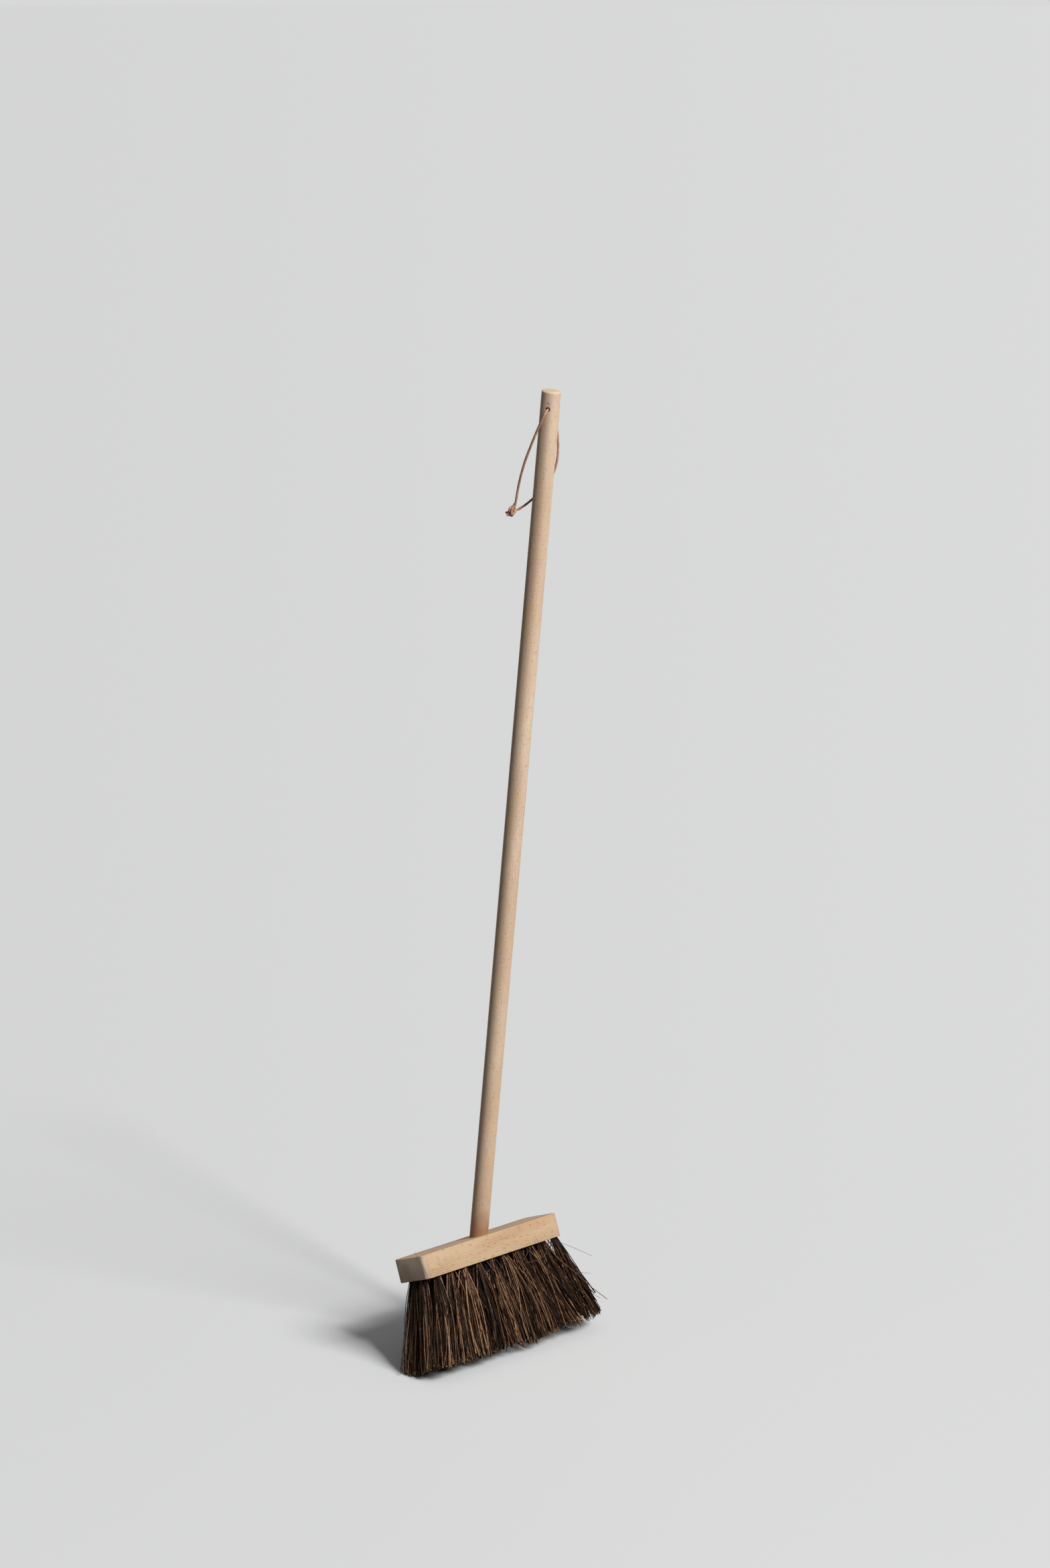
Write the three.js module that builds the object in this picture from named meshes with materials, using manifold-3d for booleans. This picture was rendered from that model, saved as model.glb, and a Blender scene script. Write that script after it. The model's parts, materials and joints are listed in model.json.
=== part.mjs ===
// Street broom: a beech head filled with stiff plant-fibre tufts, a round wooden
// handle set at an angle in the head, and a leather hanging loop through the
// handle's top. Millimetres, +Z up, head length along X, front of the broom
// towards -Y. The origin is the middle of the broom's plan box, on the ground.

import * as THREE from 'three';
import { mergeGeometries, mergeVertices } from 'three/addons/utils/BufferGeometryUtils.js';
import Module from 'manifold-3d';

const wasm = await Module();
wasm.setup();

// Clearance between pieces that touch, and the overrun of every cutting tool
const FIT_GAP = 0.3;
const CUT_OVERRUN = 2;

// Head block
const BLOCK_LENGTH = 246;
const BLOCK_WIDTH = 61;
const BLOCK_THICKNESS = 31;
const BLOCK_CORNER_RADIUS = 8;
const BLOCK_EDGE_EASE = 0.8;
const BLOCK_CORNER_STEPS = 5;
const BLOCK_TILT_DEG = 19.8;
const BLOCK_CENTRE_HEIGHT = 131;

// Handle and the socket that holds it
const HANDLE_LENGTH = 1150;
const HANDLE_DIAMETER = 24;
const HANDLE_END_ROUND = 2.5;
const HANDLE_FOOT_CHAMFER = 1.2;
const HANDLE_SIDES = 32;
const HANDLE_ROUND_STEPS = 3;
const SOCKET_ANGLE_DEG = 26.5;
const SOCKET_DEPTH = 24;
const SOCKET_FRONT_OFFSET = 5.5;

// Cross hole for the hanging loop
const CORD_HOLE_DIAMETER = 6;
const CORD_HOLE_BELOW_END = 22;
const CORD_HOLE_TURN_DEG = 58.5;
const CORD_HOLE_SIDES = 16;

// Tuft pattern on the underside of the block, its rows from front to back. Each
// row is shifted along the block by a share of the tuft pitch.
const ROW_SHIFT_SHARES = [0.3, -0.2, -0.1, 0.1];
const TUFT_ROWS = ROW_SHIFT_SHARES.length;
const TUFTS_PER_ROW = 10;
const TUFT_END_MARGIN = 17.25;
const TUFT_SIDE_MARGIN = 10.5;
const TUFT_HOLE_DIAMETER = 9;
const TUFT_HOLE_DEPTH = 12;
const TUFT_HOLE_SIDES = 12;
const SOCKET_WALL = 1.5;
const BACKING_THICKNESS = 5;
const BACKING_END_WALL = 4;

// Folded root of a tuft and the wire staple that pins it
const TUFT_ROOT_SIDES = 8;
const TUFT_ROOT_TOP_BELOW_HOLE_END = 2.5;
const STAPLE_WIRE = 1.2;
const STAPLE_WIDTH = 6.6;
const STAPLE_LEG_PAST_HOLE = 4.5;

// Strands
const STRANDS_PER_TUFT = 10;
const STRAND_LENGTH = 122;
const STRAND_LENGTH_SPREAD = 2.5;
const STRAND_ROOT_RADIUS = 0.75;
const STRAND_TIP_RADIUS = 0.6;
const STRAND_SIDES = 3;
const STRAND_SINK = 1.2;
const TUFT_ROOT_REACH = 3.4;
const TUFT_TIP_REACH_X = 13.5;
const TUFT_TIP_REACH_Y = 6;
const END_TUFT_SPLAY = 36;
const SIDE_TUFT_SPLAY = 2.7;
const TIP_WANDER = 1;
const STRAND_BEND_SHARE = 0.2;
const FLAT_CUT_DEPTH = 0.5;

// Leather loop and its knot
const CORD_DIAMETER = 3;
const CORD_SIDES = 8;
const CORD_STEPS = 76;
const NECK_STEPS = 3;
const KNOT_CORE_WIDTH = 9;
const KNOT_CORE_DEPTH = 8;
const KNOT_CORE_HEIGHT = 8.6;
const KNOT_WRAP_DIAMETER = 7.4;
const KNOT_CORE_STEPS = 12;
const KNOT_WRAP_STEPS = 16;
const TAIL_LENGTHS = [11, 9.4];

// Centre line of the loop in the hole's frame: sideways to the left of the
// handle, outwards along the hole, downwards along the handle. It starts and
// ends in the knot, and passes through the hole at the zero point.
const CORD_ROUTE = [
  [35.4, 0.6, 133.4],
  [33.4, 1.6, 126.4],
  [31.9, 2.8, 117.0],
  [30.7, 4.2, 105.6],
  [28.9, 6.0, 93.6],
  [26.6, 7.8, 81.6],
  [23.8, 9.6, 69.6],
  [20.3, 11.4, 57.6],
  [16.6, 13.2, 46.0],
  [12.9, 14.9, 34.8],
  [9.3, 16.2, 24.6],
  [5.7, 17.2, 15.4],
  [2.5, 16.8, 7.0],
  [1.6, 15.9, 4.4],
  [0.8, 14.2, 2.2],
  [0.2, 11.8, 0.7],
  [0, 9.0, 0],
  [0, 3, 0],
  [0, -3, 0],
  [0, -9.0, 0],
  [-0.2, -11.8, 0.7],
  [-0.6, -14.2, 2.2],
  [-1.2, -15.9, 4.5],
  [-1.9, -16.8, 7.2],
  [-3.9, -17.3, 15.0],
  [-6.2, -17.0, 23.6],
  [-8.6, -16.7, 33.8],
  [-10.5, -16.4, 45.0],
  [-11.4, -16.2, 57.0],
  [-11.0, -16.1, 69.0],
  [-8.8, -16.1, 80.6],
  [-4.6, -16.1, 91.4],
  [1.4, -15.9, 101.4],
  [8.0, -15.0, 110.4],
  [14.4, -12.6, 118.2],
  [20.5, -9.3, 124.6],
  [26.4, -5.5, 129.6],
  [31.0, -2.2, 132.4],
  [35.0, 0.0, 133.6],
];
const KNOT_CENTRE = [35.6, 0.4, 133.6];
const TAIL_DIRECTIONS = [[0.93, -0.1, 0.28], [0.72, 0.12, 0.7]];

const BLOCK_TILT = THREE.MathUtils.degToRad(BLOCK_TILT_DEG);
const SOCKET_ANGLE = THREE.MathUtils.degToRad(SOCKET_ANGLE_DEG);
const HOLE_TURN = THREE.MathUtils.degToRad(CORD_HOLE_TURN_DEG);
const QUARTER_TURN = Math.PI / 2;
const GOLDEN_ANGLE = Math.PI * (3 - Math.sqrt(5));

const BLOCK_TOP = BLOCK_THICKNESS / 2;
const BLOCK_BOTTOM = -BLOCK_THICKNESS / 2;
const HANDLE_RADIUS = HANDLE_DIAMETER / 2;
const HANDLE_FOOT = FIT_GAP - SOCKET_DEPTH;
const HANDLE_TOP = HANDLE_FOOT + HANDLE_LENGTH;
const TUFT_SPACES = TUFTS_PER_ROW - 1;
const ROW_SPACES = TUFT_ROWS - 1;
const TUFT_PITCH = (BLOCK_LENGTH - 2 * TUFT_END_MARGIN) / TUFT_SPACES;
const ROW_PITCH = (BLOCK_WIDTH - 2 * TUFT_SIDE_MARGIN) / ROW_SPACES;
const TIP_TUFT_PITCH = TUFT_PITCH + (2 * END_TUFT_SPLAY) / TUFT_SPACES;
const TIP_ROW_PITCH = ROW_PITCH + (2 * SIDE_TUFT_SPLAY) / ROW_SPACES;
const TUFT_HOLE_END = BLOCK_BOTTOM + TUFT_HOLE_DEPTH;
const TUFT_ROOT_TOP = TUFT_HOLE_END - TUFT_ROOT_TOP_BELOW_HOLE_END;
const BACKING_LENGTH = BLOCK_LENGTH - 2 * BACKING_END_WALL;
const BACKING_TOP = BLOCK_BOTTOM + BACKING_THICKNESS;
const STAPLE_FOOT = TUFT_ROOT_TOP + FIT_GAP;
const STAPLE_TOP = TUFT_HOLE_END + STAPLE_LEG_PAST_HOLE;

const beech = new THREE.MeshStandardMaterial({ color: 0xdcbd97, roughness: 0.7, metalness: 0 });
const handleWood = new THREE.MeshStandardMaterial({ color: 0xc79f76, roughness: 0.6, metalness: 0 });
const steelWire = new THREE.MeshStandardMaterial({ color: 0xa9abae, roughness: 0.35, metalness: 1 });
const leather = new THREE.MeshStandardMaterial({ color: 0xbd8a66, roughness: 0.65, metalness: 0 });
const fibre = new THREE.MeshStandardMaterial({ color: 0x3b2416, roughness: 0.6, metalness: 0 });

// Repeatable random number between -1 and 1, most often near 0
function wander() {
  return THREE.MathUtils.seededRandom() - THREE.MathUtils.seededRandom();
}

// Closed three.js geometry to solid: shared corners merged, flat slivers dropped
function toSolid(geometry) {
  const bare = geometry.clone();
  bare.deleteAttribute('normal');
  bare.deleteAttribute('uv');
  const merged = mergeVertices(bare);
  const corners = merged.index.array;
  const triangles = [];
  for (let i = 0; i < corners.length; i += 3) {
    const [a, b, c] = [corners[i], corners[i + 1], corners[i + 2]];
    if (a !== b && b !== c && c !== a) {
      triangles.push(a, b, c);
    }
  }
  return new wasm.Manifold(new wasm.Mesh({
    numProp: 3,
    vertProperties: new Float32Array(merged.attributes.position.array),
    triVerts: new Uint32Array(triangles),
  }));
}

function toGeometry(solid) {
  const mesh = solid.getMesh();
  const geometry = new THREE.BufferGeometry();
  const points = [];
  for (let i = 0; i < mesh.vertProperties.length; i += mesh.numProp) {
    points.push(mesh.vertProperties[i], mesh.vertProperties[i + 1], mesh.vertProperties[i + 2]);
  }
  geometry.setAttribute('position', new THREE.Float32BufferAttribute(points, 3));
  geometry.setIndex(Array.from(mesh.triVerts));
  const faceted = geometry.toNonIndexed();
  faceted.computeVertexNormals();
  return faceted;
}

function namedMesh(name, geometry, material) {
  const mesh = new THREE.Mesh(geometry, material.clone());
  mesh.name = name;
  return mesh;
}

// Cylinder along Z from one height to another
function uprightCylinder(radius, bottom, top, sides) {
  const cylinder = new THREE.CylinderGeometry(radius, radius, top - bottom, sides);
  cylinder.rotateX(QUARTER_TURN);
  cylinder.translate(0, 0, (bottom + top) / 2);
  return cylinder;
}

function boxBetween(low, high) {
  const size = high.clone().sub(low);
  const middle = low.clone().add(high).divideScalar(2);
  return new THREE.BoxGeometry(size.x, size.y, size.z).translate(middle.x, middle.y, middle.z);
}

// Handle frame inside the head: origin where the axis meets the block's top
const handleFrame = new THREE.Matrix4()
  .makeRotationX(SOCKET_ANGLE)
  .setPosition(0, -SOCKET_FRONT_OFFSET, BLOCK_TOP);

// Tufts of one row, counted from the middle of the block in steps along it and
// lines across it
function tuftPlaces(row) {
  const places = [];
  for (let i = 0; i < TUFTS_PER_ROW; i += 1) {
    const step = i - TUFT_SPACES / 2 + ROW_SHIFT_SHARES[row];
    const place = { step, line: row - ROW_SPACES / 2 };
    place.x = step * TUFT_PITCH;
    place.y = place.line * ROW_PITCH;
    if (!meetsSocket(place)) {
      places.push(place);
    }
  }
  return places;
}

// A tuft hole that would break into the handle's socket is not drilled
function meetsSocket(place) {
  const toHandle = handleFrame.clone().invert();
  for (let i = 0; i < TUFT_HOLE_SIDES; i += 1) {
    const angle = (i / TUFT_HOLE_SIDES) * 2 * Math.PI;
    const rim = new THREE.Vector3(
      place.x + (TUFT_HOLE_DIAMETER / 2) * Math.cos(angle),
      place.y + (TUFT_HOLE_DIAMETER / 2) * Math.sin(angle),
      TUFT_HOLE_END,
    ).applyMatrix4(toHandle);
    const inside = Math.hypot(rim.x, rim.y) < HANDLE_RADIUS + FIT_GAP + SOCKET_WALL;
    if (inside && rim.z > -SOCKET_DEPTH - SOCKET_WALL) {
      return true;
    }
  }
  return false;
}

const rows = [];
for (let row = 0; row < TUFT_ROWS; row += 1) {
  rows.push(tuftPlaces(row));
}

// Block with rounded upright corners, its socket, backing pocket and tuft holes
function blockBlank() {
  const halfLength = BLOCK_LENGTH / 2 - BLOCK_EDGE_EASE;
  const halfWidth = BLOCK_WIDTH / 2 - BLOCK_EDGE_EASE;
  const radius = BLOCK_CORNER_RADIUS - BLOCK_EDGE_EASE;
  const outline = new THREE.Shape();
  outline.absarc(halfLength - radius, halfWidth - radius, radius, 0, QUARTER_TURN);
  outline.absarc(radius - halfLength, halfWidth - radius, radius, QUARTER_TURN, Math.PI);
  outline.absarc(radius - halfLength, radius - halfWidth, radius, Math.PI, 3 * QUARTER_TURN);
  outline.absarc(halfLength - radius, radius - halfWidth, radius, 3 * QUARTER_TURN, 2 * Math.PI);
  outline.closePath();
  const blank = new THREE.ExtrudeGeometry(outline, {
    depth: BLOCK_THICKNESS - 2 * BLOCK_EDGE_EASE,
    bevelThickness: BLOCK_EDGE_EASE,
    bevelSize: BLOCK_EDGE_EASE,
    bevelSegments: 1,
    curveSegments: BLOCK_CORNER_STEPS,
  });
  return blank.translate(0, 0, BLOCK_BOTTOM + BLOCK_EDGE_EASE);
}

function backingHalfWidth() {
  return (TUFT_ROWS * ROW_PITCH) / 2;
}

function stapleLegX() {
  return (STAPLE_WIDTH - STAPLE_WIRE) / 2;
}

function makeBlock() {
  const socket = uprightCylinder(
    HANDLE_RADIUS + FIT_GAP, -SOCKET_DEPTH, HANDLE_DIAMETER + CUT_OVERRUN, HANDLE_SIDES,
  ).applyMatrix4(handleFrame);
  const pocket = boxBetween(
    new THREE.Vector3(-BACKING_LENGTH / 2 - FIT_GAP, -backingHalfWidth(), BLOCK_BOTTOM - CUT_OVERRUN),
    new THREE.Vector3(BACKING_LENGTH / 2 + FIT_GAP, backingHalfWidth(), BACKING_TOP + FIT_GAP),
  );
  let block = toSolid(blockBlank()).subtract(toSolid(socket)).subtract(toSolid(pocket));
  const slotHalf = STAPLE_WIRE / 2 + FIT_GAP;
  for (const place of rows.flat()) {
    const drill = uprightCylinder(
      TUFT_HOLE_DIAMETER / 2, BLOCK_BOTTOM - CUT_OVERRUN, TUFT_HOLE_END, TUFT_HOLE_SIDES,
    );
    block = block.subtract(toSolid(drill.translate(place.x, place.y, 0)));
    for (const side of [-1, 1]) {
      const legX = place.x + side * stapleLegX();
      block = block.subtract(toSolid(boxBetween(
        new THREE.Vector3(legX - slotHalf, place.y - slotHalf, TUFT_ROOT_TOP),
        new THREE.Vector3(legX + slotHalf, place.y + slotHalf, STAPLE_TOP + FIT_GAP),
      )));
    }
  }
  return toGeometry(block);
}

// Wire staple driven through the fold of one tuft into solid wood
function makeStaple(place) {
  const half = STAPLE_WIDTH / 2;
  const inner = half - STAPLE_WIRE;
  const outline = new THREE.Shape([
    new THREE.Vector2(-half, STAPLE_FOOT),
    new THREE.Vector2(half, STAPLE_FOOT),
    new THREE.Vector2(half, STAPLE_TOP),
    new THREE.Vector2(inner, STAPLE_TOP),
    new THREE.Vector2(inner, STAPLE_FOOT + STAPLE_WIRE),
    new THREE.Vector2(-inner, STAPLE_FOOT + STAPLE_WIRE),
    new THREE.Vector2(-inner, STAPLE_TOP),
    new THREE.Vector2(-half, STAPLE_TOP),
  ]);
  const staple = new THREE.ExtrudeGeometry(outline, { depth: STAPLE_WIRE, bevelEnabled: false });
  staple.rotateX(QUARTER_TURN);
  return staple.translate(place.x, place.y + STAPLE_WIRE / 2, 0);
}

// Sunflower spacing of the strands in a tuft, with the tips fanned further out
function strandPlaces(place) {
  const strands = [];
  for (let i = 0; i < STRANDS_PER_TUFT; i += 1) {
    const reach = Math.sqrt((i + 1 / 2) / STRANDS_PER_TUFT);
    const angle = i * GOLDEN_ANGLE + place.step;
    const across = reach * Math.cos(angle);
    const along = reach * Math.sin(angle);
    strands.push({
      rootX: place.x + TUFT_ROOT_REACH * across,
      rootY: place.y + TUFT_ROOT_REACH * along,
      tipX: place.step * TIP_TUFT_PITCH + TUFT_TIP_REACH_X * across + TIP_WANDER * wander(),
      tipY: place.line * TIP_ROW_PITCH + TUFT_TIP_REACH_Y * along + TIP_WANDER * wander(),
      length: STRAND_LENGTH + STRAND_LENGTH_SPREAD * wander(),
      turn: Math.PI * wander(),
    });
  }
  return strands;
}

// Point of a strand at a depth below the block; equal depths never meet
function strandPoint(strand, depth) {
  const depthShare = Math.max(depth, 0) / STRAND_LENGTH;
  const share = depthShare + STRAND_BEND_SHARE * depthShare * (depthShare - 1);
  return new THREE.Vector3(
    strand.rootX + (strand.tipX - strand.rootX) * share,
    strand.rootY + (strand.tipY - strand.rootY) * share,
    BLOCK_BOTTOM - depth,
  );
}

function strandGeometry(strand) {
  const lean = Math.hypot(strand.tipX - strand.rootX, strand.tipY - strand.rootY) / STRAND_LENGTH;
  const tipDepth = strand.length / Math.hypot(1, lean);
  const depths = [-STRAND_SINK, STRAND_LENGTH / 2, tipDepth];
  const points = [];
  for (const depth of depths) {
    const share = Math.max(depth, 0) / STRAND_LENGTH;
    const radius = THREE.MathUtils.lerp(STRAND_ROOT_RADIUS, STRAND_TIP_RADIUS, share);
    const centre = strandPoint(strand, depth);
    for (let side = 0; side < STRAND_SIDES; side += 1) {
      const angle = strand.turn + (side / STRAND_SIDES) * 2 * Math.PI;
      points.push(centre.x + radius * Math.cos(angle), centre.y + radius * Math.sin(angle), centre.z);
    }
  }
  const triangles = [];
  for (let ring = 0; ring < depths.length - 1; ring += 1) {
    for (let side = 0; side < STRAND_SIDES; side += 1) {
      const a = ring * STRAND_SIDES + side;
      const b = ring * STRAND_SIDES + ((side + 1) % STRAND_SIDES);
      triangles.push(a, a + STRAND_SIDES, b, b, a + STRAND_SIDES, b + STRAND_SIDES);
    }
  }
  const last = (depths.length - 1) * STRAND_SIDES;
  for (let side = 1; side < STRAND_SIDES - 1; side += 1) {
    triangles.push(0, side, side + 1);
    triangles.push(last, last + side + 1, last + side);
  }
  const geometry = new THREE.BufferGeometry();
  geometry.setAttribute('position', new THREE.Float32BufferAttribute(points, 3));
  geometry.setIndex(triangles);
  return geometry;
}

// Everything under the ground plane, in the head's own frame
function groundTool() {
  const reach = BLOCK_LENGTH;
  const ground = boxBetween(
    new THREE.Vector3(-reach, -reach, -BLOCK_CENTRE_HEIGHT - reach),
    new THREE.Vector3(reach, reach, -BLOCK_CENTRE_HEIGHT),
  );
  return ground.rotateX(BLOCK_TILT);
}

// One row: a strip of the backing, the folded roots above it and the strands
// below it. Strands long enough to reach the ground are cut flat there.
function makeTuftRow(row) {
  THREE.MathUtils.seededRandom(row + 1);
  const line = row - ROW_SPACES / 2;
  const halfWidth = (ROW_PITCH - FIT_GAP) / 2;
  let backing = toSolid(boxBetween(
    new THREE.Vector3(-BACKING_LENGTH / 2, line * ROW_PITCH - halfWidth, BLOCK_BOTTOM),
    new THREE.Vector3(BACKING_LENGTH / 2, line * ROW_PITCH + halfWidth, BACKING_TOP),
  ));
  const strands = [];
  for (const place of rows[row]) {
    const root = uprightCylinder(
      TUFT_HOLE_DIAMETER / 2 - FIT_GAP, BACKING_TOP - STRAND_SINK, TUFT_ROOT_TOP, TUFT_ROOT_SIDES,
    );
    backing = backing.add(toSolid(root.translate(place.x, place.y, 0)));
    for (const strand of strandPlaces(place)) {
      strands.push(strandGeometry(cutToGround(strand)));
    }
  }
  const tufts = backing.add(toSolid(mergeGeometries(strands)));
  return toGeometry(tufts.subtract(toSolid(groundTool())));
}

// A strand that would pass the ground ends just under it, for the flat cut
function cutToGround(strand) {
  const lean = Math.hypot(strand.tipX - strand.rootX, strand.tipY - strand.rootY) / STRAND_LENGTH;
  const groundDepth = (BLOCK_CENTRE_HEIGHT + FLAT_CUT_DEPTH - strand.tipY * Math.sin(BLOCK_TILT))
    / Math.cos(BLOCK_TILT) + BLOCK_BOTTOM;
  const length = Math.min(strand.length, groundDepth * Math.hypot(1, lean));
  return { ...strand, length };
}

// Round dowel with a rounded top end and the cross hole for the loop
function makeHandle() {
  const profile = [
    new THREE.Vector2(0, HANDLE_FOOT),
    new THREE.Vector2(HANDLE_RADIUS - HANDLE_FOOT_CHAMFER, HANDLE_FOOT),
    new THREE.Vector2(HANDLE_RADIUS, HANDLE_FOOT + HANDLE_FOOT_CHAMFER),
  ];
  for (let i = 0; i <= HANDLE_ROUND_STEPS; i += 1) {
    const angle = (i / HANDLE_ROUND_STEPS) * QUARTER_TURN;
    profile.push(new THREE.Vector2(
      HANDLE_RADIUS - HANDLE_END_ROUND + HANDLE_END_ROUND * Math.cos(angle),
      HANDLE_TOP - HANDLE_END_ROUND + HANDLE_END_ROUND * Math.sin(angle),
    ));
  }
  profile.push(new THREE.Vector2(0, HANDLE_TOP));
  const dowel = new THREE.LatheGeometry(profile, HANDLE_SIDES).rotateX(QUARTER_TURN);
  const drill = new THREE.CylinderGeometry(
    CORD_HOLE_DIAMETER / 2, CORD_HOLE_DIAMETER / 2, HANDLE_DIAMETER + CUT_OVERRUN, CORD_HOLE_SIDES,
  );
  drill.applyMatrix4(holeFrame);
  return toGeometry(toSolid(dowel).subtract(toSolid(drill)));
}

// Frame of the cross hole inside the handle: X to the left, Y out along the
// hole, Z up the handle
const holeFrame = new THREE.Matrix4()
  .makeRotationZ(Math.PI - HOLE_TURN)
  .setPosition(0, 0, HANDLE_TOP - CORD_HOLE_BELOW_END);

function routePoint([side, out, down]) {
  return new THREE.Vector3(side, out, -down);
}

// Part of a curve, between two distances along it
class Stretch extends THREE.Curve {
  constructor(curve, from, to) {
    super();
    this.curve = curve;
    this.total = curve.getLength();
    this.from = from;
    this.to = to;
  }

  getPoint(share, target = new THREE.Vector3()) {
    const distance = THREE.MathUtils.lerp(this.from, this.to, share);
    return this.curve.getPointAt(distance / this.total, target);
  }
}

const loopCurve = new THREE.CatmullRomCurve3(CORD_ROUTE.map(routePoint), false, 'centripetal');
loopCurve.arcLengthDivisions = CORD_STEPS * CORD_SIDES;
const loopLength = loopCurve.getLength();
const neckLength = KNOT_CORE_HEIGHT / 2 + CORD_DIAMETER;

function cordTube(from, to, steps) {
  const section = new THREE.Shape();
  for (let i = 0; i < CORD_SIDES; i += 1) {
    const angle = (i / CORD_SIDES) * 2 * Math.PI;
    const x = (CORD_DIAMETER / 2) * Math.cos(angle);
    const y = (CORD_DIAMETER / 2) * Math.sin(angle);
    if (i === 0) {
      section.moveTo(x, y);
    } else {
      section.lineTo(x, y);
    }
  }
  section.closePath();
  return new THREE.ExtrudeGeometry(section, {
    steps,
    bevelEnabled: false,
    extrudePath: new Stretch(loopCurve, from, to),
  });
}

// Overhand knot: a full core, two wraps, the necks of the loop and two tails
function makeKnot() {
  const centre = routePoint(KNOT_CENTRE);
  const core = new THREE.SphereGeometry(1, KNOT_CORE_STEPS, KNOT_CORE_STEPS / 2);
  core.scale(KNOT_CORE_WIDTH / 2, KNOT_CORE_DEPTH / 2, KNOT_CORE_HEIGHT / 2);
  let knot = toSolid(core.translate(centre.x, centre.y, centre.z));
  for (const lean of [-1, 1]) {
    const wrap = new THREE.TorusGeometry(
      KNOT_WRAP_DIAMETER / 2, CORD_DIAMETER / 2, CORD_SIDES, KNOT_WRAP_STEPS,
    );
    wrap.rotateX(QUARTER_TURN);
    wrap.rotateY(lean * QUARTER_TURN / 2);
    knot = knot.add(toSolid(wrap.translate(centre.x, centre.y, centre.z)));
  }
  TAIL_DIRECTIONS.forEach((direction, i) => {
    const tail = new THREE.CylinderGeometry(
      CORD_DIAMETER / 2, CORD_DIAMETER / 2, TAIL_LENGTHS[i], CORD_SIDES,
    );
    tail.translate(0, TAIL_LENGTHS[i] / 2, 0);
    const way = routePoint(direction).normalize();
    tail.applyQuaternion(new THREE.Quaternion().setFromUnitVectors(new THREE.Vector3(0, 1, 0), way));
    knot = knot.add(toSolid(tail.translate(centre.x, centre.y, centre.z)));
  });
  const necks = [[0, neckLength], [loopLength - neckLength, loopLength]];
  for (const [from, to] of necks) {
    knot = knot.add(toSolid(cordTube(from, to, NECK_STEPS)));
  }
  return toGeometry(knot);
}

const broom = new THREE.Group();
broom.rotation.x = -BLOCK_TILT;
broom.add(namedMesh('head_block', makeBlock(), beech));
for (let row = 0; row < TUFT_ROWS; row += 1) {
  broom.add(namedMesh(`tuft_row_${row + 1}`, makeTuftRow(row), fibre));
  rows[row].forEach((place, i) => {
    broom.add(namedMesh(`staple_${row + 1}_${i + 1}`, makeStaple(place), steelWire));
  });
}

const handleGroup = new THREE.Group();
handleGroup.applyMatrix4(handleFrame);
handleGroup.add(namedMesh('handle', makeHandle(), handleWood));
broom.add(handleGroup);

const model = new THREE.Group();
model.add(broom);
model.updateMatrixWorld(true);
const plan = new THREE.Box3().setFromObject(broom, true);
const middle = plan.getCenter(new THREE.Vector3());
broom.position.set(-middle.x, -middle.y, -plan.min.z);

const hangingLoop = new THREE.Group();
hangingLoop.applyMatrix4(holeFrame);
const cord = cordTube(neckLength + FIT_GAP, loopLength - neckLength - FIT_GAP, CORD_STEPS);
hangingLoop.add(namedMesh('loop_cord', cord, leather));
hangingLoop.add(namedMesh('loop_knot', makeKnot(), leather));
handleGroup.add(hangingLoop);
model.updateMatrixWorld(true);

export default model;
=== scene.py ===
"""Street broom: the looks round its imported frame.

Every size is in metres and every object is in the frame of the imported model: +Z up,
the head's length along X, the front of the broom towards -Y.
"""

import json
import math
import random

import bpy
import numpy as np
from mathutils import Matrix, Vector


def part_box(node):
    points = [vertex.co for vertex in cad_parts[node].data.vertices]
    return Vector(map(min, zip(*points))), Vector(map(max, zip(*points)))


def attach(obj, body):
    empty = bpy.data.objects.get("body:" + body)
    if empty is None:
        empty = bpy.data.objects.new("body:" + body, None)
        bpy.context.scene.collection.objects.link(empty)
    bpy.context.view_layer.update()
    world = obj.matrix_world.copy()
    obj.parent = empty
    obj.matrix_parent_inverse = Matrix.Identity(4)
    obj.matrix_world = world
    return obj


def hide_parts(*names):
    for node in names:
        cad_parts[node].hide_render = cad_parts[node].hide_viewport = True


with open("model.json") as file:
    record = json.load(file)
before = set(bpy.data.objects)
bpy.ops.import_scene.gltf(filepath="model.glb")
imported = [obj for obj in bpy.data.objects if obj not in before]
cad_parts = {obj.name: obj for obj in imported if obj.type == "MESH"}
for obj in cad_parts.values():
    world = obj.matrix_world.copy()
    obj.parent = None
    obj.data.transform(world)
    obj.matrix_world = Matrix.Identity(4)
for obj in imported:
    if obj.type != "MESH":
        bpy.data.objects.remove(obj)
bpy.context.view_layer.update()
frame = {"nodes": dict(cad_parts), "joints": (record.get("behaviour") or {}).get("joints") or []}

bl_info = {
    "name": "Street broom",
    "version": (1, 0, 0),
    "blender": (4, 5, 0),
    "location": "View3D > Sidebar > Broom",
    "description": "Beech head, plant-fibre tufts, turned handle and leather loop of a broom",
    "category": "Object",
}

MM = 0.001

# Places taken from the frame
HEAD_LOW, HEAD_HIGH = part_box("head_block")
HEAD_CENTRE = (HEAD_LOW + HEAD_HIGH) / 2
HEAD_LENGTH = HEAD_HIGH.x - HEAD_LOW.x
LOOP_JOINT = next(joint for joint in frame["joints"] if joint["name"] == "loop_swing")
HOLE_CENTRE = Vector(LOOP_JOINT["pos_m"])

# The head: its own frame has X along it and Z out of its top
HEAD_WIDTH = 61 * MM
HEAD_THICKNESS = 31 * MM
HEAD_UNDERSIDE = -HEAD_THICKNESS / 2
HEAD_TILT = math.radians(19.8)
HEAD_FRAME = Matrix.Translation(HEAD_CENTRE) @ Matrix.Rotation(-HEAD_TILT, 4, "X")

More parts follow.
